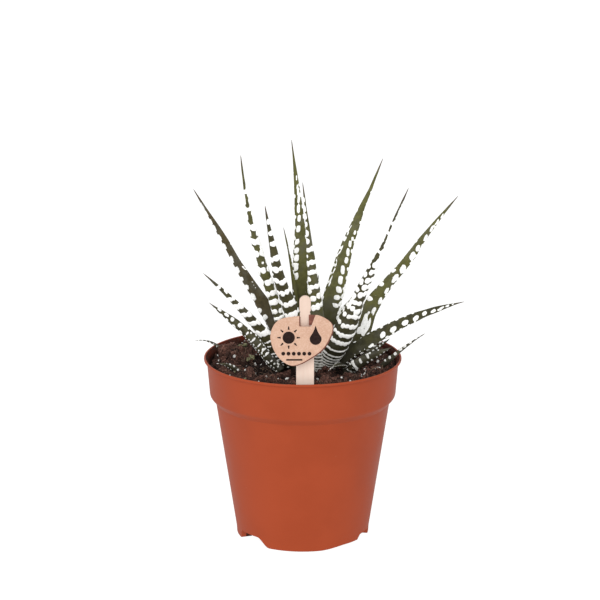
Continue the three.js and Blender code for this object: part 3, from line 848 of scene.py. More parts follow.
def soil_fibres(seed, count):
    rng = np.random.default_rng(seed)
    arch = np.sin(np.linspace(0.1, math.pi - 0.1, FIBRE_POINTS))
    shapes = []
    while len(shapes) < count:
        turn, out = rng.uniform(0, 2 * math.pi), (SOIL_EDGE - 4) * math.sqrt(rng.uniform())
        start = np.array([out * math.cos(turn), out * math.sin(turn)])
        heading, bend = rng.uniform(0, 2 * math.pi), rng.normal(0, 0.25)
        length, lift, radius = rng.uniform(2, 6), rng.uniform(0.3, 1.4), rng.uniform(0.06, 0.13)
        if np.hypot(*(start - CROWN_AT)) < CROWN_SEAT:
            continue
        line = []
        for _ in range(FIBRE_POINTS):
            line.append((*start, 0))
            start = start + length / (FIBRE_POINTS - 1) * np.array([math.cos(heading), math.sin(heading)])
            heading += bend
        line = np.array(line)
        if np.hypot(line[:, 0], line[:, 1]).max() > SOIL_EDGE - 1:
            continue
        line[:, 2] = soil_height(line[:, 0], line[:, 1]) + lift * arch + 0.1
        shapes.append(thread(line, radius))
    return join_shapes(shapes)


make_piece("peat_fibres", *soil_fibres(15, 170), fibre, "soil")

# %% [markdown]
# ## Leaves
# A haworthia leaf is a thick, tapering blade that ends in a needle. Its outer face is
# rounded and carries white bands, which are rows of raised warts that have grown
# together. Its inner face is nearly flat, plain green, with white ovals beside each
# margin.
#
# The same formulas as in the packed model give the blade: a curve from root to tip, a
# width that tapers and a direction that the outer face looks to.

# %% Line and frame of a leaf
TIP_HALF_WIDTH = 0.42
WAIST = 0.6
WAIST_ENDS = 0.16
FACE_DROP = -0.6


def around_stem(place, stem):
    turn, reach, height = place
    angle = math.radians(turn)
    aside, forward = reach * math.sin(angle), reach * math.cos(angle)
    return np.array([stem[0] + aside, stem[1] - forward, SOIL_LEVEL + height])


def leaf_line(leaf, stem, share):
    """Points and directions along the middle of a leaf at the given shares of its length."""
    root, tip = around_stem(leaf.root, stem), around_stem(leaf.tip, stem)
    chord = unit(tip - root)
    swing = unit(np.array([-chord[1], chord[0], 0]))
    lift = unit(np.cross(chord, swing))
    middle = (root + tip) / 2 + lift * 2 * leaf.bow + swing * 2 * leaf.side
    t = share[:, None]
    line = (1 - t) ** 2 * root + 2 * t * (1 - t) * middle + t ** 2 * tip
    return line, unit((1 - t) * (middle - root) + t * (tip - middle))


def leaf_frame(leaf, along):
    face = math.radians(leaf.face)
    out = np.array([math.sin(face), -math.cos(face), FACE_DROP])
    out = unit(out - (along @ out)[:, None] * along)
    return out, np.cross(out, along)


def half_width(leaf, share):
    waist = WAIST + (1 - WAIST) * smoothstep(0, WAIST_ENDS, share)
    half = leaf.width / 2 * (1 - share) ** leaf.taper * waist
    return np.maximum(half, TIP_HALF_WIDTH)


print("a root in front of the crown, mm:", around_stem((0, 10, 0), CROWN_AT).round(1).tolist())

# %% [markdown]
# ### Zebra bands
# The bands are a field over the unrolled skin, in millimetres: positive inside a wart,
# negative between them. Each wart is a soft oval, and ovals that touch run together with
# a small neck, so the green between two bands keeps the pointed cusps of the real leaf.
# The same field raises the skin and colours it white, so relief and colour always agree.
#
# Places round a blade are given as shares: -1 and 1 are its two margins, 0 is the middle
# of the outer face, and what lies beyond 1 is on the inner face, up to 1.76 in its middle.

# %% Places of bands
ARC_SHARE = 1.32
MERGE = 8.0
FIELD_REACH = 1.5
ROUND_BLADE = 2 * (1 + 1 / ARC_SHARE)


def spaced(start, end, first_gap, last_gap):
    """Places from start to end along a leaf, with gaps that grow evenly."""
    places, place = [], start
    while place < end:
        places.append(place)
        place += first_gap + (last_gap - first_gap) * (place - start) / (end - start)
    return places


def band(places, white, left=-1.15, right=1.15, **own):
    """White bands at these places, so long as `white`, from one share round the blade to another."""
    return {"places": places, "white": white, "left": left, "right": right, **own}


print("places of fine bands, mm:", [round(place, 1) for place in spaced(0.8, 12, 1.35, 2.0)])


# %% Bands as rows of warts
def grow_warts(leaf, length, rng):
    """Warts of a leaf as (along, around, half length, half width)."""
    warts = []
    for zone in leaf.bands:
        white, stray = zone["white"], zone.get("stray", 0)
        for place in zone["places"]:
            arc = ARC_SHARE * float(half_width(leaf, np.array(min(place / length, 1))))
            shift = zone.get("drift", 0) * (place - zone["places"][0])
            left, width = (zone["left"] + shift) * arc, (zone["right"] - zone["left"]) * arc
            count = max(1, round(width / zone.get("pitch", leaf.pitch)))
            outer = zone["left"] < 1 and zone["right"] > -1
            sag = zone.get("sag", leaf.sag if outer else 0) * arc / ARC_SHARE
            tilt = zone.get("tilt", 0) + rng.normal(0, 0.03)
            wave, phase = rng.uniform(0, 0.06) * white, rng.uniform(0, 6.28)
            place += rng.normal(0, 0.05) * white
            for wart in range(count):
                around = left + (wart + 0.5) * width / count + stray * rng.normal()
                across = around / arc
                along = place + sag * min(across ** 2, 1.6) + tilt * around
                along += zone.get("fan", 0) * abs(around - zone.get("spine", 0) * arc)
                along += wave * math.sin(3 * across + phase) if count > 1 else 0
                along += stray * rng.normal()
                size = 0.5 * white * rng.uniform(0.8, 1.16)
                along += 0.05 * white * rng.normal()
                wide = 0.5 * width / count
                if count > 1:
                    wide *= zone.get("join", 1.22) * rng.uniform(0.88, 1.12)
                if rng.uniform() > zone.get("broken", 0):
                    warts.append((along, around, size, wide))
    return warts


def wart_field(warts, along, around, turn, boxy):
    """Distance inside the nearest wart, with necks where warts touch."""
    total = np.full(around.shape, math.exp(-MERGE * FIELD_REACH))
    for place, off, size, wide in warts:
        near = np.flatnonzero(np.abs(along - place) < size + FIELD_REACH)
        if len(near) == 0:
            continue
        low, high = near[0], near[-1] + 1
        aside = around[low:high] - off
        aside -= turn[low:high] * np.round(aside / turn[low:high])
        box = (np.abs(along[low:high, None] - place) / size) ** boxy + (np.abs(aside) / wide) ** boxy
        away = box ** (1 / boxy)
        total[low:high] += np.exp(MERGE * np.maximum((1 - away) * min(size, wide), -FIELD_REACH))
    return np.log(total) / MERGE


one_wart = wart_field([(5, 0, 1, 1)], np.array([5.0]), np.zeros((1, 1)), np.ones((1, 1)), 2.2)
print("field in the middle of a wart of 2 mm:", round(float(one_wart[0, 0]), 2))

# %% [markdown]
# ### From the field to a blade
# The section of a blade is half an ellipse on the outside and a slightly hollow line on
# the inside. Rows of that section follow the leaf's line, closer than half a millimetre,
# and the warts lift the skin along its own normal. The last 8 mm draw in to a needle.
#
# A grown leaf isn't even: its edges may be given as (place, plus, minus), which are the
# millimetres that either edge stands out or back at that place along the leaf.

# %% Make one blade
WART_HEIGHT = 0.34
THICKNESS_SHARE = 0.34
HOLLOW = 0.14
NEEDLE_LENGTH = 8.0
NEEDLE_SHARE = 0.42


def blade(leaf, stem=CROWN_AT, step=0.32, outside=28, inside=12):
    """Points, faces and surface values of one leaf."""
    rng = np.random.default_rng(leaf.seed)
    chord = float(np.linalg.norm(around_stem(leaf.tip, stem) - around_stem(leaf.root, stem)))
    rows = max(30, round(chord / step)) + 1
    share = np.linspace(0, 1, rows)
    line, along = leaf_line(leaf, stem, share)
    out, across = leaf_frame(leaf, along)
    distance = np.concatenate([[0], np.cumsum(np.linalg.norm(np.diff(line, axis=0), axis=1))])
    length = distance[-1]
    half = half_width(leaf, share) * np.sqrt(np.clip((length - distance + 0.05) / 1.5, 0, 1))
    half = half * (NEEDLE_SHARE + (1 - NEEDLE_SHARE) * smoothstep(0, NEEDLE_LENGTH, length - distance))
    half = half * (1 + 0.025 * ripples(leaf.seed + 90, 9.0)(distance, 0 * share))
    thick = np.where(half < 0.5, 1.4 * half, 2 * half * THICKNESS_SHARE + 0.36)
    places, *edges = np.array(leaf.edges, float).T
    plus, minus = (np.maximum(half + np.interp(distance, places, own), 0.12 * half) for own in edges)

    angle = np.linspace(0, math.pi, outside)
    inward = np.linspace(-1, 1, inside + 2)[1:-1]
    wide = np.concatenate([np.cos(angle), inward])
    deep = np.concatenate([np.sin(angle) ** 1.05, HOLLOW * (1 - inward ** 2)])
    inner = np.concatenate([np.zeros(outside), np.ones(inside)])
    inner[[0, outside - 1]] = 0.5
    aside = np.where(wide > 0, plus[:, None], minus[:, None])
    skin = (line[:, None] + across[:, None] * (wide * aside)[..., None]
            + out[:, None] * (deep * thick[:, None])[..., None])

    arc = ARC_SHARE * half[:, None]
    around_inner = np.sign(inward + 1e-9) * (arc + (1 - np.abs(inward)) * half[:, None])
    around = np.concatenate([(1 - 2 * angle / math.pi) * arc, around_inner], axis=1)
    field = wart_field(grow_warts(leaf, length, rng), distance, around, ROUND_BLADE * arc, leaf.boxy)
    field += leaf.ragged * ripples(leaf.seed + 50, 1.5, 24)(distance[:, None] + 0 * around, around)

    row_way = np.gradient(skin, axis=0)
    ring_way = np.roll(skin, -1, axis=1) - np.roll(skin, 1, axis=1)
    normal = unit(np.cross(row_way, ring_way))
    outward = skin - (line + out * 0.3 * thick[:, None])[:, None]
    normal *= np.sign((normal * outward).sum(-1).mean())
    height = WART_HEIGHT * leaf.relief * smoothstep(-0.12, 0.4, field) * np.minimum(1, half / 2.4)[:, None]
    skin = skin + normal * height[..., None]

    ring, root = outside + inside, rows * (outside + inside)
    ends = [line[0] + out[0] * thick[0] * 0.4, line[-1] + along[-1] * 0.1]
    points = np.concatenate([skin.reshape(-1, 3), ends])
    caps = []
    for side in range(ring):
        after = (side + 1) % ring
        caps.append((root, after, side))
        caps.append((root + 1, root - ring + side, root - ring + after))
    faces = sleeve(rows, ring)[:, [0, 3, 2, 1]].tolist() + caps
    values = {}
    for label, value, first, last in (
            ("wart", np.clip(field, -1, 1), -1, -1), ("inner", inner, 0, 0), ("rise", share[:, None], 0, 1),
            ("along", distance[:, None], 0, length), ("around", around, 0, 0)):
        values[label] = np.append(np.broadcast_to(value, field.shape), [first, last])
    return points, faces, values


print("relief of a band, mm:", WART_HEIGHT, "and length of a needle, mm:", NEEDLE_LENGTH)

# %% [markdown]
# ### Leaf finish
# Green and white come from the wart field, cut sharply. The green is patchy, with patches
# of a painted grey sheen and fine streaks along the leaf. Low down it turns to a painted
# root tone: painted shade where leaves shade each other, and on the bronzed leaf a painted
# grey sheen along its lower side. Low down the whites are painted greyer, as shade too. The
# green is brown at the very tip. The inner face is more olive than the outer one. White
# warts are matt, and the skin between them shines softly.

# %% Leaf finish
PAINTED_GREY_SHEEN = (0.105, 0.100, 0.074)
TIP_BROWN = (0.075, 0.05, 0.03)


def leaf_finish(name, outer_tones, inner_tones, painted_root_tone, whites=((0.88, 0.89, 0.85), (1.0, 1.0, 0.98))):
    skin = Finish(name, 0.5, 0.22)
    wart, inner, rise, along, around = (
        skin.node("Attribute", attribute_name=label).outputs["Fac"]
        for label in ("wart", "inner", "rise", "along", "around"))
    unrolled = skin.node("CombineXYZ", {0: around, 1: along}).outputs[0]
    clouds = skin.patchy(320.0, 0.35, 0.65)
    green = skin.mix(inner, skin.mix(clouds, *outer_tones), skin.mix(clouds, *inner_tones))
    streak = skin.ramp(skin.effect(grain, 1.6, unrolled, Stretch=(1.0, 0.06, 1.0)), 0.35, 0.65)
    green = skin.mix(0.35, green, skin.mix(streak, green, (0.72, 0.72, 0.72), "MULTIPLY"))
    # Patches of a painted grey sheen on the green.
    green = skin.mix(skin.calculate(skin.patchy(150.0, 0.47, 0.68), 0.5), green, PAINTED_GREY_SHEEN)
    # Painted root tone: painted shade low on the blade, and a painted grey sheen on the bronzed leaf.
    green = skin.mix(skin.calculate(skin.ramp(rise, 0.36, 0.04), 0.8), green, painted_root_tone)
    green = skin.mix(skin.ramp(rise, 0.9, 1.0), green, TIP_BROWN)
    white = skin.mix(skin.patchy(1500.0, 0.3, 0.6), *whites)
    # Whites low on the blade are painted greyer: painted shade.
    white = skin.mix(skin.ramp(rise, 0.2, 0.02), white, (0.62, 0.62, 0.57))
    is_white = skin.ramp(wart, -0.01, 0.06)
    skin.shade({"Base Color": skin.mix(is_white, green, white)})
    skin.shade({"Roughness": skin.ramp(is_white, 0, 1, 0.48, 0.7)})
    skin.bump(skin.effect(grain, 5.0, unrolled, Stretch=(1.0, 0.5, 1.0)), 0.00015, 0.5)
    return skin


# The tone after the inner tones is each finish's painted root tone: painted shade, and a painted grey sheen
# on the bronzed leaf.
FRESH = leaf_finish("fresh_leaf", ((0.062, 0.060, 0.017), (0.100, 0.096, 0.030)),
                    ((0.080, 0.078, 0.019), (0.115, 0.112, 0.030)), (0.017, 0.012, 0.008))
BRONZE = leaf_finish("bronzed_leaf", ((0.045, 0.036, 0.013), (0.075, 0.058, 0.022)),
                     ((0.050, 0.038, 0.014), (0.080, 0.061, 0.024)), (0.062, 0.054, 0.042))
SHADED = leaf_finish("shaded_leaf", ((0.042, 0.038, 0.015), (0.066, 0.060, 0.022)),
                     ((0.036, 0.034, 0.013), (0.060, 0.056, 0.019)), (0.015, 0.013, 0.008))
YOUNG_SKIN = leaf_finish("young_leaf_skin", ((0.034, 0.031, 0.017), (0.060, 0.054, 0.028)),
                         ((0.036, 0.033, 0.017), (0.062, 0.056, 0.028)), (0.018, 0.016, 0.010),
                         ((0.48, 0.48, 0.46), (0.80, 0.80, 0.77)))
print("leaf finishes:", [each.material.name for each in (FRESH, BRONZE, SHADED, YOUNG_SKIN)])

# %% [markdown]
# ### The large leaves
# Each leaf has its own line, and its own bands. Low on a blade they are fine arcs, 1.3 mm
# apart. Further up they are bold and 4 to 7 mm apart, and near the tip they shrink to
# ovals or stop. Leaves at the back show their inner face, with a row of ovals inside one
# margin. All lengths are millimetres along the real leaf.

# %% Bands of the leaves that are seen from outside
FINE_BANDS = band(spaced(0.8, 12, 1.35, 2.0), 0.8)
TALL_FRONT_BANDS = [
    band(spaced(0.8, 12.5, 1.35, 1.6), 0.86, join=1.4),
    band(spaced(14, 27, 2.6, 4.6), 1.9, tilt=-0.1),
    band([31.5, 36], 2.9, -1.3, 0.5, tilt=-0.42, sag=0, stray=0.12, join=1.1),
    band([41, 47.5, 52, 58], 2.5, -1.2, 1.2, tilt=-0.12, sag=0.1),
    band([38.5, 44.3], 2.6, 0.3, 1.1),
    band([50.5, 55], 1.6, 0.5, 1.1),
    band([62.5, 66, 69.7, 73.5, 77.5, 81.5], 3.0, -0.05, 1.3),
]
BROAD_RIGHT_BANDS = [
    band(spaced(0.8, 9.4, 1.3, 1.5), 0.82, join=1.4),
    band([10.9, 14.2], 1.0, -1.1, 0.95),
    band([18.3, 22.6], 2.3, stray=0.15, join=1.08),
    band([27, 32.2, 36], 2.8, stray=0.22, join=1.06),
    band([39.5], 3.0, -1.2, 0.9, tilt=-0.1, stray=0.2, join=1.08),
    band(spaced(43.5, 60, 4.1, 4.1), 3.0, -1.2, 0.36, fan=0.5, sag=0, spine=0.42),
    band(spaced(42, 60, 4.0, 4.0), 2.9, 0.5, 1.4, fan=0.3, sag=0, spine=0.42),
    band(spaced(60, 94, 2.6, 2.6), 3.2, -1.2, 0.02),
    band(spaced(60, 80, 3.0, 3.0), 3.2, 0.8, 1.3),
    band([67, 77, 82.2], 1.7, -1.0, 1.2),
]
LOW_LEFT_BANDS = [
    band(spaced(1.2, 25, 1.1, 1.3), 0.6, 0.25, 0.5, stray=0.08),
    band(spaced(1.5, 25, 1.7, 2.0), 0.9, -0.05, 0.15, stray=0.2),
    band([8.3, 11, 14.2, 17.9, 22.3], 1.0, -0.62, -0.12, tilt=-0.8, join=1.4),
    band([2.2, 4.2, 6.2, 9.7, 12.6], 1.0, -0.5, -0.26, stray=0.2),
    band(spaced(2, 25, 1.9, 2.1), 1.1, -1.25, -0.6, pitch=1.5, join=0.75, stray=0.3, broken=0.15),
    band([28.4, 32.8, 36.6, 40.2], 2.5, -0.84, -0.18),
    band([26.2, 30.7, 34.8, 38.5, 42], 2.2, -1.5, -1.0),
    band([26.2, 30.7, 34.8, 38.5, 42], 2.2, 0.0, 0.6),
]
LEFT_BANDS = [
    band(spaced(1, 19, 1.9, 2.3), 1.0, pitch=1.5, join=0.75, stray=0.25, broken=0.1),
    band([23.2], 3.6, tilt=0.4, sag=0.1),
    band([29.6, 35, 40.5], 3.0, tilt=0.4, sag=0.1),
    band([45.6], 2.4, -0.5, 1.2),
    band([44.5, 49.5], 2.4, -1.3, -0.5),
    band([53.3], 1.7),
    band([26, 32.2, 38], 2.0, -1.4, -0.95),
    band([26, 32, 37.5, 43], 2.2, 0.3, 1.0),
]
FRONT_LEFT_BANDS = [
    FINE_BANDS,
    band(spaced(13, 24, 3, 4.5), 1.9),
    band([27.3, 33.3, 39.2, 45], 2.8, tilt=0.12, stray=0.22, join=1.06),
    band([51.1, 56.9], 3.0, stray=0.2, join=1.06),
    band([64.2, 70.4, 76.4], 2.9, -1.25, 0.25),
    band([30.5, 36.5, 42.2, 48.2], 1.6, 0.42, 0.9, broken=0.3),
]
TALL_LEFT_BANDS = [
    FINE_BANDS,
    band(spaced(13, 24, 3, 4.5), 1.9),
    band([26.9, 31.4], 3.0, tilt=0.1, stray=0.22, join=1.06),
    band([36.2, 41.9], 3.0, tilt=0.3, stray=0.25, join=1.06),
    band([48, 56.3], 3.1, tilt=0.2, stray=0.2, join=1.08),
    band([62.5, 70.3], 3.2, tilt=0.15),
    band([79, 88.2], 2.4),
    band(spaced(25, 92, 4.1, 4.5), 3.9, -1.5, -0.86),
    band(spaced(55, 92, 3.4, 3.6), 3.6, -1.3, -0.62),
    band(spaced(23, 90, 3.9, 4.1), 3.4, 0.16, 0.8),
    band([28.8, 33.5, 38.8], 2.2, 0.3, 0.9),
    band([51.5], 1.3, -0.6, -0.3),
]
print("rows of bands on the tall left leaf:", len(TALL_LEFT_BANDS))

# %% Bands of the leaves that are seen from inside
BACK_BANDS = [
    band(spaced(1, 10, 1.4, 2.4), 0.9),
    band(spaced(12, 62, 3.6, 5.2), 2.4),
    band(spaced(16, 56, 4.4, 4.4), 3.0, 1.18, 1.46),
    band(spaced(18, 56, 4.4, 4.4), 3.0, -1.46, -1.18),
]
OUTSIDE_OF_TALL = [
    band(spaced(1, 10, 1.4, 2.4), 0.9),
    band(spaced(12, 78, 3.6, 5.4), 2.4, -1.02, 1.02),
]
LEFT_LONG_BANDS = [
    OUTSIDE_OF_TALL[0],
    band(spaced(12, 80, 3.6, 5.4), 2.3, -0.75, 0.9),
    band([18.8, 23.4, 35.7, 40.2], 2.4, -1.36, -0.7),
    band([29.6], 4.4, -1.4, -0.8),
    band([44.8, 50.5, 57.4], 3.5, -1.42, -0.7),
    band([62, 67, 71, 75.2, 79.2], 3.2, -1.58, -0.6),
    band([34, 35.6, 37.6], 0.8, 1.36, 1.52, pitch=0.8, join=0.8),
    band([45.2], 3.0, 1.1, 1.4),
]
TALL_RIGHT_BANDS = [
    *OUTSIDE_OF_TALL,
    band([22.2, 25.6], 2.5, 1.20, 1.62),
    band([29.6], 3.2, 1.24, 1.68),
    band([34.4, 39.1], 4.1, 1.28, 1.66),
    band([43.7, 47.8, 51.5], 3.3, 1.28, 1.66),
    band([54.6, 57.6], 2.6, 1.22, 1.54),
    band([18, 21.5, 25.5, 29], 2.6, 0.9, 1.12),
    band(spaced(31, 60, 3.1, 3.1), 2.5, -1.28, -1.14),
]
TALL_MIDDLE_BANDS = [
    *OUTSIDE_OF_TALL,
    band([30.3, 34.8], 3.5, -1.42, -1.06),
    band([38.6, 42.4, 46.4], 3.0, -1.50, -1.08),
    band([51, 55.6, 60.2, 64.5, 68.3], 3.9, -1.70, -1.16, drift=-0.028, tilt=-0.25),
    band([71.8, 75.5], 2.2, -2.2, -1.75),
    band([23, 27], 2.6, 1.1, 1.4),
]
LONG_RIGHT_BANDS = [
    OUTSIDE_OF_TALL[0],
    band(spaced(12, 31, 3.6, 4.2), 2.4, -1.02, 0.5),
    band(spaced(33, 78, 4.4, 5.4), 2.4, -1.02, 1.02),
    band([17.4, 20.4, 23.4], 4.3, 1.28, 1.82, pitch=1.2, join=1.25, stray=0.2),
    band([27.2], 1.8, 1.62, 1.8),
    band([27.6], 2.4, 1.14, 1.3),
    band([29.2], 3.2, 1.16, 1.62),
    band([34.2, 39.2], 3.4, 1.0, 1.62),
    band([44.6, 51.4, 58], 4.4, 0.96, 1.66),
    band([63.5, 69.2, 74, 78.2, 82.3], 3.3, 0.96, 1.64),
    band([31, 39.5, 48], 2.6, -1.4, -0.9),
    band([33.2, 35], 0.8, -1.5, -1.36),
]
LOW_RIGHT_BANDS = [
    band(spaced(1, 12, 1.6, 2.6), 1.0, -1.0, 1.0),
    band(spaced(14, 44, 3.4, 4.2), 2.2, -1.04, 0.95),
    band(spaced(46, 60, 4.2, 4.2), 1.8, -0.8, 0.75),
    band([23.6], 3.2, 1.08, 1.5, tilt=-0.5),
    band([27.4, 33.3], 3.2, 1.1, 1.8),
    band([39.6, 44.5], 3.2, 1.14, 1.92),
    band([48.7, 53.3, 56.7], 2.9, 1.22, 1.95),
    band([59.8, 62.6], 1.8, 1.3, 2.1),
    band([12, 14.5, 17, 19.5], 0.8, 1.16, 1.34),
]
THIN_BACK_BANDS = [OUTSIDE_OF_TALL[0], band([34.5, 38.3, 41.8, 45.2], 2.2, 0.9, 1.3)]
print("rows of bands on the long right leaf:", len(LONG_RIGHT_BANDS))

# %% [markdown]
# A leaf is given by its root and tip, each as turn, reach and height round its stem, by
# how far its middle bows up and to the side, by its width, and by the turn that its outer
# face looks to. What the class holds are the usual values, and a leaf may have its own.

# %% Table of the large leaves
class Leaf:
    taper, pitch, sag = 1.1, 2.1, 0.3
    ragged, relief, boxy = 0.045, 1.0, 2.2
    edges, finish, seed = [(0, 0, 0)], FRESH, 1

    def __init__(self, root, tip, bow, side, width, face, bands, **own):
        self.root, self.tip, self.bow, self.side = root, tip, bow, side
        self.width, self.face, self.bands = width, face, bands
        vars(self).update(own)


LEAVES = {
    "leaf_tall_front": Leaf(
        (33.7, 11.3, 0), (-9.3, 13, 88.9), 0.5, 0.1, 10.7, 8, TALL_FRONT_BANDS, taper=1.22, seed=21),
    "leaf_broad_right": Leaf(
        (44.3, 10.2, 0), (54.7, 54.3, 90.7), -0.2, 0.3, 15.2, 18, BROAD_RIGHT_BANDS,
        taper=1.53, seed=22, pitch=1.8, finish=SHADED,
        edges=[(15, 0, 0), (21, 0, 1.0), (29, 0, 1.2), (36, 0, 0.5), (50, 0, 0), (60, 0, 0.8),
               (66, -0.3, 0.9), (72, -0.6, 0.9), (79, -0.2, 0.4), (86, 0.2, 0), (100, 0, 0)]),
    "leaf_low_right": Leaf(
        (72.4, 12.8, 0), (85.9, 71.3, 31.8), 4.8, -0.4, 9.7, 140, LOW_RIGHT_BANDS,
        taper=0.93, seed=23, finish=SHADED,
        edges=[(4, -1.3, 0.8), (10, -2.0, 1.0), (15, -1.0, 0), (20, 0, 0), (27, 0.4, 0.3), (45, 0.7, 0.4),
               (55, 0.6, 0.3), (66, 0, 0)]),
    "leaf_low_left": Leaf(
        (-53.2, 14.4, 0), (-96.2, 45.1, 28.7), 1, -2.5, 8.5, -8, LOW_LEFT_BANDS,
        taper=0.67, seed=24, finish=SHADED,
        edges=[(22, 0, 0), (28, 0.2, 0.3), (34, 0.4, 0), (42, 0.3, -0.2), (46, 0, 0)]),
    "leaf_left": Leaf(
        (-59.3, 9.7, 2), (-65.7, 50.9, 49.3), 1.8, 1.6, 10.9, -30, LEFT_BANDS,
        taper=1.03, seed=25, finish=SHADED,
        edges=[(45, 0, 0), (53, 0.3, 0.2), (58, 0.4, 0.3), (62, 0, 0)]),
    "leaf_front_left": Leaf(
        (8.6, 8, 5), (-29.2, 38.1, 83.1), -0.6, -3.1, 13.8, -14, FRONT_LEFT_BANDS,
        taper=1.25, seed=26, finish=SHADED,
        edges=[(20, -1, 0), (35, -1, 0), (41, 0, 0), (48, 0.5, 0), (56, 0.1, 0.3), (60, 0, 0.7),
               (68, 0, 0.7), (75, 0, 0.5), (85, 0, 0)]),
    "leaf_long_right": Leaf(
        (85.8, 14.1, 2), (108.3, 73, 74.5), 2.3, 0.9, 11.9, 150, LONG_RIGHT_BANDS, taper=1.19, seed=27,
        edges=[(12, 1.2, 0), (16, 2.0, 0), (20, 1.8, 0.2), (24, 0.7, 0.4), (28, -0.4, 0.8), (35, -1.2, 1.2),
               (42, -0.7, 0.4), (46, -0.1, 0.2), (51, 0.7, -0.4), (56, 1.3, -0.4), (61, 1.5, -0.3),
               (65, 0.6, 0), (72, 0.6, 0.2), (82, 0.5, 0.3), (92, 0, 0)]),
    "leaf_tall_left": Leaf(
        (-40.1, 8, 4), (-45.1, 41.2, 104.8), 0.5, -6.3, 11.2, -25, TALL_LEFT_BANDS, taper=1.2, seed=28,
        edges=[(10, -3.6, 0), (22, -3.9, 0), (30, -3.6, 0), (36, -2.6, 0), (42, -1, 0), (48, 0, 0),
               (60, 0.3, 0), (85, 0.2, 0), (105, 0, 0)]),
    "leaf_back_right": Leaf((150, 11, 2), (151, 60, 25), 3.5, 0, 12, 150, BACK_BANDS, seed=29),
    "leaf_back_middle": Leaf((184, 11, 2), (182, 57, 30), 3, 1, 12, 184, BACK_BANDS, seed=30),
    "leaf_back_left": Leaf((-140, 11, 2), (-141, 58, 42), 2.5, 0, 12, -140, BACK_BANDS, seed=31),
    "leaf_far_right": Leaf((118, 11, 2), (133, 62, 35), 3, 0, 11, 122, BACK_BANDS, seed=32),
    "leaf_left_long": Leaf(
        (-126.8, 7.2, 6), (-122.2, 62, 75.2), -0.9, 0.1, 10.1, -155, LEFT_LONG_BANDS,
        taper=1.13, seed=33, finish=BRONZE, ragged=0.09,
        edges=[(30, 0, 0), (40, -0.3, 0), (50, 0, 0), (60, 0.9, -0.2), (70, 0.9, -0.3), (80, 0.5, -0.3),
               (90, 0, 0)]),
    "leaf_tall_right": Leaf(
        (119.2, 6.8, 6), (137.6, 52, 88.7), 2.2, 2.3, 13, 165, TALL_RIGHT_BANDS,
        taper=1.32, seed=34, boxy=3.2,
        edges=[(15, 0, 0), (30, 1, 0), (40, 0.9, 0.4), (52, 0.6, 0.7), (60, 0.8, 0.2), (70, 0.6, 0),
               (80, 1, -0.6), (88, 0.5, -0.5), (96, 0, 0)]),
    "leaf_tall_middle": Leaf(
        (196.2, 5.7, 10), (-151.9, 15.1, 102.7), 0.6, -1.5, 11.4, 180, TALL_MIDDLE_BANDS,
        taper=1.03, seed=35, boxy=3.4, edges=[(22, 0, 0), (29, 0, 0.8), (44, 0, 0.7), (54, 0, 0)]),
    "leaf_thin_back": Leaf(
        (-118, 4.9, 8), (-138, 16.1, 62.2), 2.4, -0.6, 4.8, -140, THIN_BACK_BANDS, taper=1.07, seed=36),
}
print("large leaves:", len(LEAVES))

# %% Grow the large leaves
for name, leaf in LEAVES.items():
    points, faces, values = blade(leaf)
    make_piece(f"{name}_blade", points, faces, leaf.finish, "leaf", name, values)

# %% [markdown]
# ## Crown and offsets
# The large leaves grow from a short crown with a few young leaves in its heart. Round it
# stand offsets, small rosettes of their own, whose young leaves carry rows of separate
# white dots. A stem is turned from a profile, and its leaves are added to it as one piece.

# %% Join leaves to a stem
STEM_SIDES = 40


def grow_rosette(name, node, stem_profile, at, leaves, seed, finish):
    points, faces = turned(stem_profile, STEM_SIDES)
    shapes = [(points + (*at, 0), flipped(faces))]
    plain = {"wart": -1, "inner": 0, "rise": 0.05, "along": 0, "around": 0}
    values = {label: np.full(len(points), float(value)) for label, value in plain.items()}
    for number, leaf in enumerate(leaves):
        leaf.seed = seed + number
        *shape, leaf_values = blade(leaf, at, 0.2, 22, 11)
        shapes.append(shape)
        values = {label: np.append(values[label], leaf_values[label]) for label in values}
    make_piece(name, *join_shapes(shapes), finish, "young_leaf", node, values)


print("sides of a stem:", STEM_SIDES)

# %% The crown
CROWN_FOOT = 66.0
CROWN_TOP = 95.0
CROWN_PROFILE = [
    (0, CROWN_TOP), (2, 94), (3.3, 91.5), (5, 88.5), (6.9, 85.5), (8.2, 83), (9.2, 80.5), (10, 78),
    (9.6, 75), (7.2, 70), (5, CROWN_FOOT + 1), (5, CROWN_FOOT), (0, CROWN_FOOT),
]
HEART_BANDS = [band(spaced(1, 28, 1.6, 3.4), 1.2)]
HEART_LEAVES = [
    Leaf((70, 1, 14), (60, 6, 44), 0, 0, 5.5, 60, HEART_BANDS),
    Leaf((-60, 1, 14), (-75, 7, 38), 0, 0, 5.5, -70, HEART_BANDS),
    Leaf((200, 1, 12), (190, 4, 34), 0, 0, 5, 190, HEART_BANDS),
]
grow_rosette("crown_heart", "crown", CROWN_PROFILE, CROWN_AT, HEART_LEAVES, 60, SHADED)

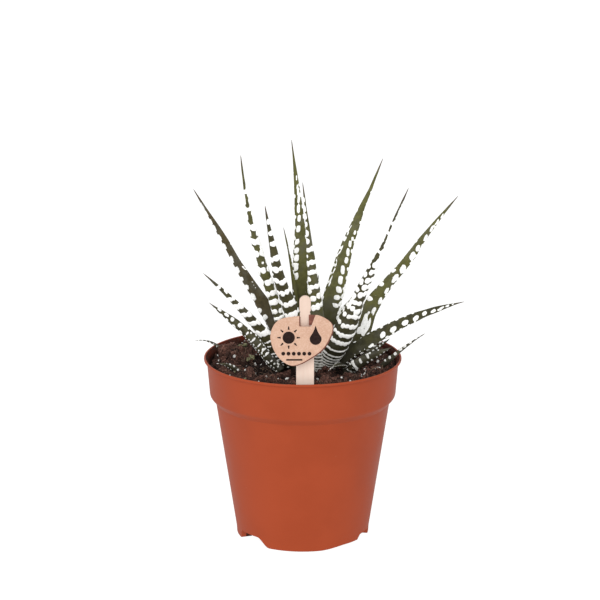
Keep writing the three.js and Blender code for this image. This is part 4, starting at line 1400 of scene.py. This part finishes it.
# %% Bands of the young leaves
YOUNG_DOTS = [band(spaced(1, 26, 1.9, 1.9), 0.8, join=0.8)]
FAT_YOUNG_BANDS = [
    band([1.4, 6.0], 1.1, 0.9, 1.35),
    band([0.9], 1.0, -0.5, 0.75, tilt=-0.8, join=1.4),
    band([3.7], 1.3, 0.0, 1.4, tilt=-0.15, join=1.4),
    band([6.6], 1.2, 0.3, 0.75),
    band([8.2], 1.0, 0.75, 1.4, tilt=0.5, join=1.3),
    band([10.6], 1.05, 0.35, 1.25, join=1.4),
    band([12.9], 1.1, 0.75, 1.3, tilt=-0.4),
    band([15.6, 17.5, 19.3], 1.1, 0.7, 1.15),
    band([3.4, 9.3, 11.6, 14.2, 16.2, 18.1, 19.9], 0.95, -0.35, 0.1),
]
DARK_YOUNG_BANDS = [
    band([5.5], 0.9, 0.0, 1.1, tilt=-0.6, join=1.4),
    band([12.9, 15, 17, 19, 21.2], 1.0, 0.35, 0.75),
]
RIM_BANDS = [
    band([3.7], 0.9, 0.6, 1.3, tilt=0.5, join=1.3),
    band([7.2], 1.1, 0.4, 1.2, tilt=0.3, join=1.3),
    band([11], 1.7, 0.2, 0.95),
    band([14.2, 17, 20.3, 23.6, 25.8], 1.9, 0.3, 1.5),
]
TWO_ROWS = [
    band(spaced(1.5, 17, 1.5, 1.5), 0.8, 0.95, 1.25),
    band(spaced(1, 17, 1.5, 1.5), 0.8, -1.2, -0.9),
    band([2], 0.7, -0.9, 0.9),
]
LEFT_FRONT_ROWS = [
    band([3, 4.8, 6.4, 8, 9.8, 11.4], 0.95, -1.05, -0.7),
    band([2.2, 4, 5.6, 7.4, 9.0, 10.6], 0.95, -0.2, 0.15),
]
print("bands on the fattest young leaf:", sum(len(zone["places"]) for zone in FAT_YOUNG_BANDS))


# %% The offsets
class YoungLeaf(Leaf):
    pitch, ragged, relief = 1.3, 0.03, 0.6


OFFSETS = {
    "offset_front_right": (2.2, 70, [
        YoungLeaf((88, 1, 1.5), (87, 20.2, 12.3), 1, 0, 8.2, 20, FAT_YOUNG_BANDS, taper=0.6),
        YoungLeaf((120, 1, 3), (114, 21.7, 13.7), 0.5, 0, 6, 70, DARK_YOUNG_BANDS, taper=0.5),
        YoungLeaf((-40, 1, 4.2), (-30, 17, 5.4), 1.4, 0, 5.8, -40, TWO_ROWS),
        YoungLeaf((25, 1, 1.5), (25, 7.5, 4), 0.8, 0, 4.5, 25, TWO_ROWS),
    ]),
    "offset_right_rim": (1.7, 75, [
        YoungLeaf((68, 0.8, 2.5), (68, 22.5, 21), 0.8, 0, 4.4, 30, RIM_BANDS),
        YoungLeaf((10, 0.8, 0.8), (10, 5, 2.6), 0.6, 0, 3.6, 10, YOUNG_DOTS),
        YoungLeaf((150, 0.8, 1), (150, 5.5, 4), 0.4, 0, 3.6, 150, YOUNG_DOTS),
    ]),
    "offset_left_front": (1.7, 80, [
        YoungLeaf((-100, 0.8, 3.6), (-97, 11.5, 6.6), 1.2, 0, 6, -60, LEFT_FRONT_ROWS, taper=0.8),
        YoungLeaf((60, 0.8, 0.8), (60, 5, 2.2), 0.6, 0, 3.8, 60, YOUNG_DOTS),
        YoungLeaf((-20, 0.8, 0.8), (-20, 5, 2), 0.6, 0, 3.8, -20, YOUNG_DOTS),
    ]),
    "offset_left_back": (1.6, 85, [
        YoungLeaf((-100, 0.8, 2), (-103, 16, 8.5), 3, 0, 3.4, -100, YOUNG_DOTS),
        YoungLeaf((30, 0.8, 0.8), (30, 5, 2.4), 0.5, 0, 3.6, 30, YOUNG_DOTS),
        YoungLeaf((140, 0.8, 0.8), (145, 5, 3), 0.5, 0, 3.6, 145, YOUNG_DOTS),
    ]),
}
for name, (stem, seed, leaves) in OFFSETS.items():
    heights = ((0, 4), (stem * 0.8, 2.5), (stem, 0), (stem, -5), (stem * 0.7, -7), (0, -7))
    profile = [(radius, SOIL_LEVEL + height) for radius, height in heights]
    grow_rosette(f"{name}_rosette", name, profile, OFFSET_PLACES[name], leaves, seed, YOUNG_SKIN)

# %% [markdown]
# ## Stick and tag
# The stick is a flat strip of pale birch with a narrow tongue at its top, and the tag is
# a leather-coloured card that hangs on the tongue by an open notch. Both are outlines
# given a thickness, with their sharp edges softened by a Bevel modifier.

# %% Places of the stick and the tag
STICK_LEAN = 6.0
STICK_WIDTH = 7.9
STICK_THICKNESS = 1.4
STICK_BELOW_SOIL = 28.0
TONGUE_WIDTH = 5.0
TONGUE_TOP = 45.6
SHOULDER = 30.0
TAG_SLIT = 32.0
TAG_TILT = -13.0
TAG_THICKNESS = 0.8
TAG_GAP = 0.3


def moved(points, matrix):
    return np.array([matrix @ Vector(point) for point in points])


def tilted(degrees):
    return Matrix.Rotation(math.radians(degrees), 4, "X")


def soften_edges(piece, width, segments=3):
    soft = piece.modifiers.new("soft_edges", "BEVEL")
    soft.width = width * MM
    soft.segments = segments
    soft.limit_method = "ANGLE"
    soft.angle_limit = SHARP_ANGLE
    apply_modifiers(piece)
    largest = max(piece.data.polygons, key=lambda polygon: polygon.area).normal.copy()
    for polygon in piece.data.polygons:
        polygon.use_smooth = abs(polygon.normal.dot(largest)) < 0.999


marker_place = Matrix.Translation(STICK_AT) @ tilted(STICK_LEAN)
tag_at = (0, -STICK_THICKNESS / 2 - TAG_GAP - TAG_THICKNESS, TAG_SLIT)
tag_place = marker_place @ Matrix.Translation(tag_at) @ tilted(TAG_TILT)
print("the tag hangs at, mm:", tuple(round(v, 1) for v in tag_place.translation))

# %% [markdown]
# ### Birch
# Birch is nearly white. Its grain is fine dashes along the stick: the Grain group, drawn
# out along the stick's length, gives both a faint colour and the ridges for the bump. The
# plant shades the foot of the stick, so the wood is made paler there than further up.

# %% Birch finish
SHADED_WOOD = (78, 98)

birch = Finish("birch_wood", 0.6)
dashes = birch.effect(grain, 900.0, Stretch=(1.0, 1.0, 0.04))
above_soil = birch.by_height(*SHADED_WOOD)
darker = birch.mix(above_soil, (0.97, 0.75, 0.625), (0.63, 0.465, 0.375))
paler = birch.mix(above_soil, (1.0, 0.82, 0.70), (0.67, 0.51, 0.42))
wood = birch.mix(birch.ramp(dashes, 0.3, 0.7), darker, paler)
broad = birch.calculate(birch.patchy(120.0, 0.35, 0.65), 0.3)
birch.shade({"Base Color": birch.mix(broad, wood, paler)})
birch.bump(dashes, 0.0001, 0.4)
print("nodes in the birch:", len(birch.tree.nodes))


# %% Make the stick
def arc(centre, radius, start, end, steps):
    turns = np.radians(np.linspace(start, end, steps + 1))
    return [(centre[0] + radius * math.cos(a), centre[1] + radius * math.sin(a)) for a in turns]


half, tongue = STICK_WIDTH / 2, TONGUE_WIDTH / 2
right_side = rounded([
    (half, -STICK_BELOW_SOIL + 7, 0), (half, SHOULDER, 3), (tongue, SHOULDER, 0),
    (tongue - 0.2, TONGUE_TOP - 8.4, 0), (tongue - 0.5, TONGUE_TOP - 7.6, 0.5),
    (tongue, TONGUE_TOP - 6.8, 0), (tongue, TONGUE_TOP - tongue, 0),
], 8)
stick_outline = [(0, -STICK_BELOW_SOIL), *right_side, *arc((0, TONGUE_TOP - tongue), tongue, 10, 170, 20)]
stick_outline += [(-x, z) for x, z in reversed(right_side)]
stick_points, stick_faces = plate(stick_outline, STICK_THICKNESS)
stick_points[:, 1] += STICK_THICKNESS / 2
stick = make_piece("birch_stick", moved(stick_points, marker_place), stick_faces, birch, "stick", "stick")
soften_edges(stick, 0.22)

# %% [markdown]
# ### Card
# The tag's outline is a smooth closed curve through nine points, with the notch let into
# its top. Its face is speckled like recycled card, and its cut edge is darker. A flap of
# the card, bent back behind the tongue, shows in the notch; it takes the dark finish of
# the cut edge as painted shade.

# %% Card finish
card = Finish("speckled_card", 0.75)
card_colour = card.mix(card.patchy(260.0, 0.35, 0.65), (0.495, 0.292, 0.20), (0.535, 0.33, 0.23))
flecks = card.calculate(card.patchy(1400.0, 0.42, 0.66), 0.55)
card.shade({"Base Color": card.mix(flecks, card_colour, (0.62, 0.42, 0.32))})
card.bump(card.effect(grain, 1800.0), 0.0001, 0.6)
card_edge, _ = two_tones("card_cut_edge", (0.14, 0.040, 0.024), (0.21, 0.07, 0.045), 900.0, 0.35, 0.65)
print("card finishes:", card.material.name, card_edge.material.name)

# %% Make the tag
TAG_OUTLINE = [(-15.3, -4), (-12, 2.6), (-2.5, 4.7), (6, 4.9), (11.9, 0.5), (9, -8.3), (2.8, -13.8),
               (-6, -17.4), (-12.5, -12.8)]
NOTCH_LEFT = -TONGUE_WIDTH / 2 - 0.1
NOTCH_RIGHT = -NOTCH_LEFT
NOTCH_FLARE = 1.9
FLAP = [(1.6, 0.4), (3.2, 0.4), (5.2, 3.6), (4.9, 4.9), (1.6, 5.1)]
CUT_SLANT = (0.55, 0, -0.4)


def smooth_loop(corners, steps):
    """A closed centripetal Catmull-Rom curve through the corners."""
    line = []
    count = len(corners)
    for i in range(count):
        p0, p1, p2, p3 = (np.array(corners[(i + k) % count], float) for k in (-1, 0, 1, 2))
        d0, d1, d2 = (math.sqrt(np.linalg.norm(b - a)) for a, b in ((p0, p1), (p1, p2), (p2, p3)))
        m1 = ((p1 - p0) / d0 - (p2 - p0) / (d0 + d1) + (p2 - p1) / d1) * d1
        m2 = ((p2 - p1) / d1 - (p3 - p1) / (d1 + d2) + (p3 - p2) / d2) * d1
        square, cube = 3 * (p2 - p1) - 2 * m1 - m2, 2 * (p1 - p2) + m1 + m2
        line += [tuple(p1 + t * m1 + t ** 2 * square + t ** 3 * cube) for t in np.arange(steps) / steps]
    return line


def in_notch(point):
    return NOTCH_LEFT < point[0] < NOTCH_RIGHT + NOTCH_FLARE and point[1] > 0


loop = smooth_loop(TAG_OUTLINE, 14)
first_in = next(i for i in range(len(loop)) if in_notch(loop[i]) and not in_notch(loop[i - 1]))
kept = [point for point in loop[first_in:] + loop[:first_in] if not in_notch(point)]
notch = rounded([(NOTCH_LEFT, kept[-1][1], 0), (NOTCH_LEFT, 0, 0.5), (NOTCH_RIGHT, 0, 0.5),
                 (NOTCH_RIGHT + NOTCH_FLARE, kept[0][1], 0)])
tag_outline = (kept + notch)[::-1]
tag_points, tag_faces = plate(tag_outline, TAG_THICKNESS)
tag_points[len(tag_outline):] += CUT_SLANT
tag = make_piece("card_tag", moved(tag_points, tag_place), tag_faces, card, "tag", "tag")
soften_edges(tag, 0.12, 2)
tag.data.materials.append(card_edge.material)
face_normal = tag_place.to_3x3() @ Vector((0, -1, 0))
for polygon in tag.data.polygons:
    polygon.material_index = 0 if abs(polygon.normal.dot(face_normal)) > 0.9 else 1
flap_points, flap_faces = plate(FLAP[::-1], TAG_THICKNESS / 2)
flap_points[:, 1] += TAG_THICKNESS / 4
# The flap's dark finish is painted shade behind the tongue.
make_piece("tag_flap", moved(flap_points, tag_place), flap_faces, card_edge, "tag", smooth=False)

# %% [markdown]
# ### Printed care signs
# The tag carries a plain printed sun and a drop of water, the signs for light and
# watering, over a row of dots and a bar. Each is a thin plate of ink that lies on the
# card, so its edge stays sharp at any size.

# %% Print finish and signs
ink, _ = two_tones("dark_ink", (0.014, 0.007, 0.006), (0.024, 0.013, 0.011), 900.0, 0.3, 0.7, 0.7, 0.08)
INK_THICKNESS = 0.05
SUN_AT = (-7.2, -5.0)
SUN_RADIUS = 2.7
SUN_RAYS = 8
RAY_FROM = 1.3
RAY_TO = 1.85
RAY_HALF_WIDTHS = (0.42, 0.2)
DROP_AT = (4.6, -5.6)
DROP_RADIUS = 2.6
DOT_RADIUS = 0.85
DOTS_AT = [(x, -12.1) for x in np.arange(-9.6, 3, 2.3)]
BAR = [(-8.3, -15.2), (-1.2, -15.2), (-1.2, -14.5), (-8.3, -14.5)]


def sun_shapes(centre, radius):
    outlines = [arc(centre, radius, 0, 360 - 7.5, 47)]
    for ray in range(SUN_RAYS):
        turn = 2 * math.pi * ray / SUN_RAYS
        way, side = np.array([math.cos(turn), math.sin(turn)]), np.array([-math.sin(turn), math.cos(turn)])
        near, far = centre + way * radius * RAY_FROM, centre + way * radius * RAY_TO
        broad, narrow = (side * share for share in RAY_HALF_WIDTHS)
        outlines.append((near - broad, far - narrow, far + narrow, near + broad))
    return outlines


def drop_shape(centre, radius):
    body = arc(centre, radius, 160, 380, 30)
    peak = (centre[0], centre[1] + 2.3 * radius)
    bend = (centre[0] + 0.35 * radius, centre[1] + 1.25 * radius, 1.2)
    right = rounded([(*body[-1], 0), bend, (*peak, 0)], 6)
    left = [(2 * centre[0] - x, z) for x, z in reversed(right[:-1])]
    return [*body[:-1], *right, *left[:-1]]


signs = [*sun_shapes(SUN_AT, SUN_RADIUS), drop_shape(DROP_AT, DROP_RADIUS)]
signs += [arc(at, DOT_RADIUS, 0, 345, 23) for at in DOTS_AT]
signs.append(BAR)
sign_points, sign_faces = join_shapes([plate(outline, INK_THICKNESS) for outline in signs])
sign_points[:, 1] += -TAG_THICKNESS + 0.01
make_piece("care_signs", moved(sign_points, tag_place), sign_faces, ink, "tag", smooth=False)

# %% [markdown]
# ## Finish
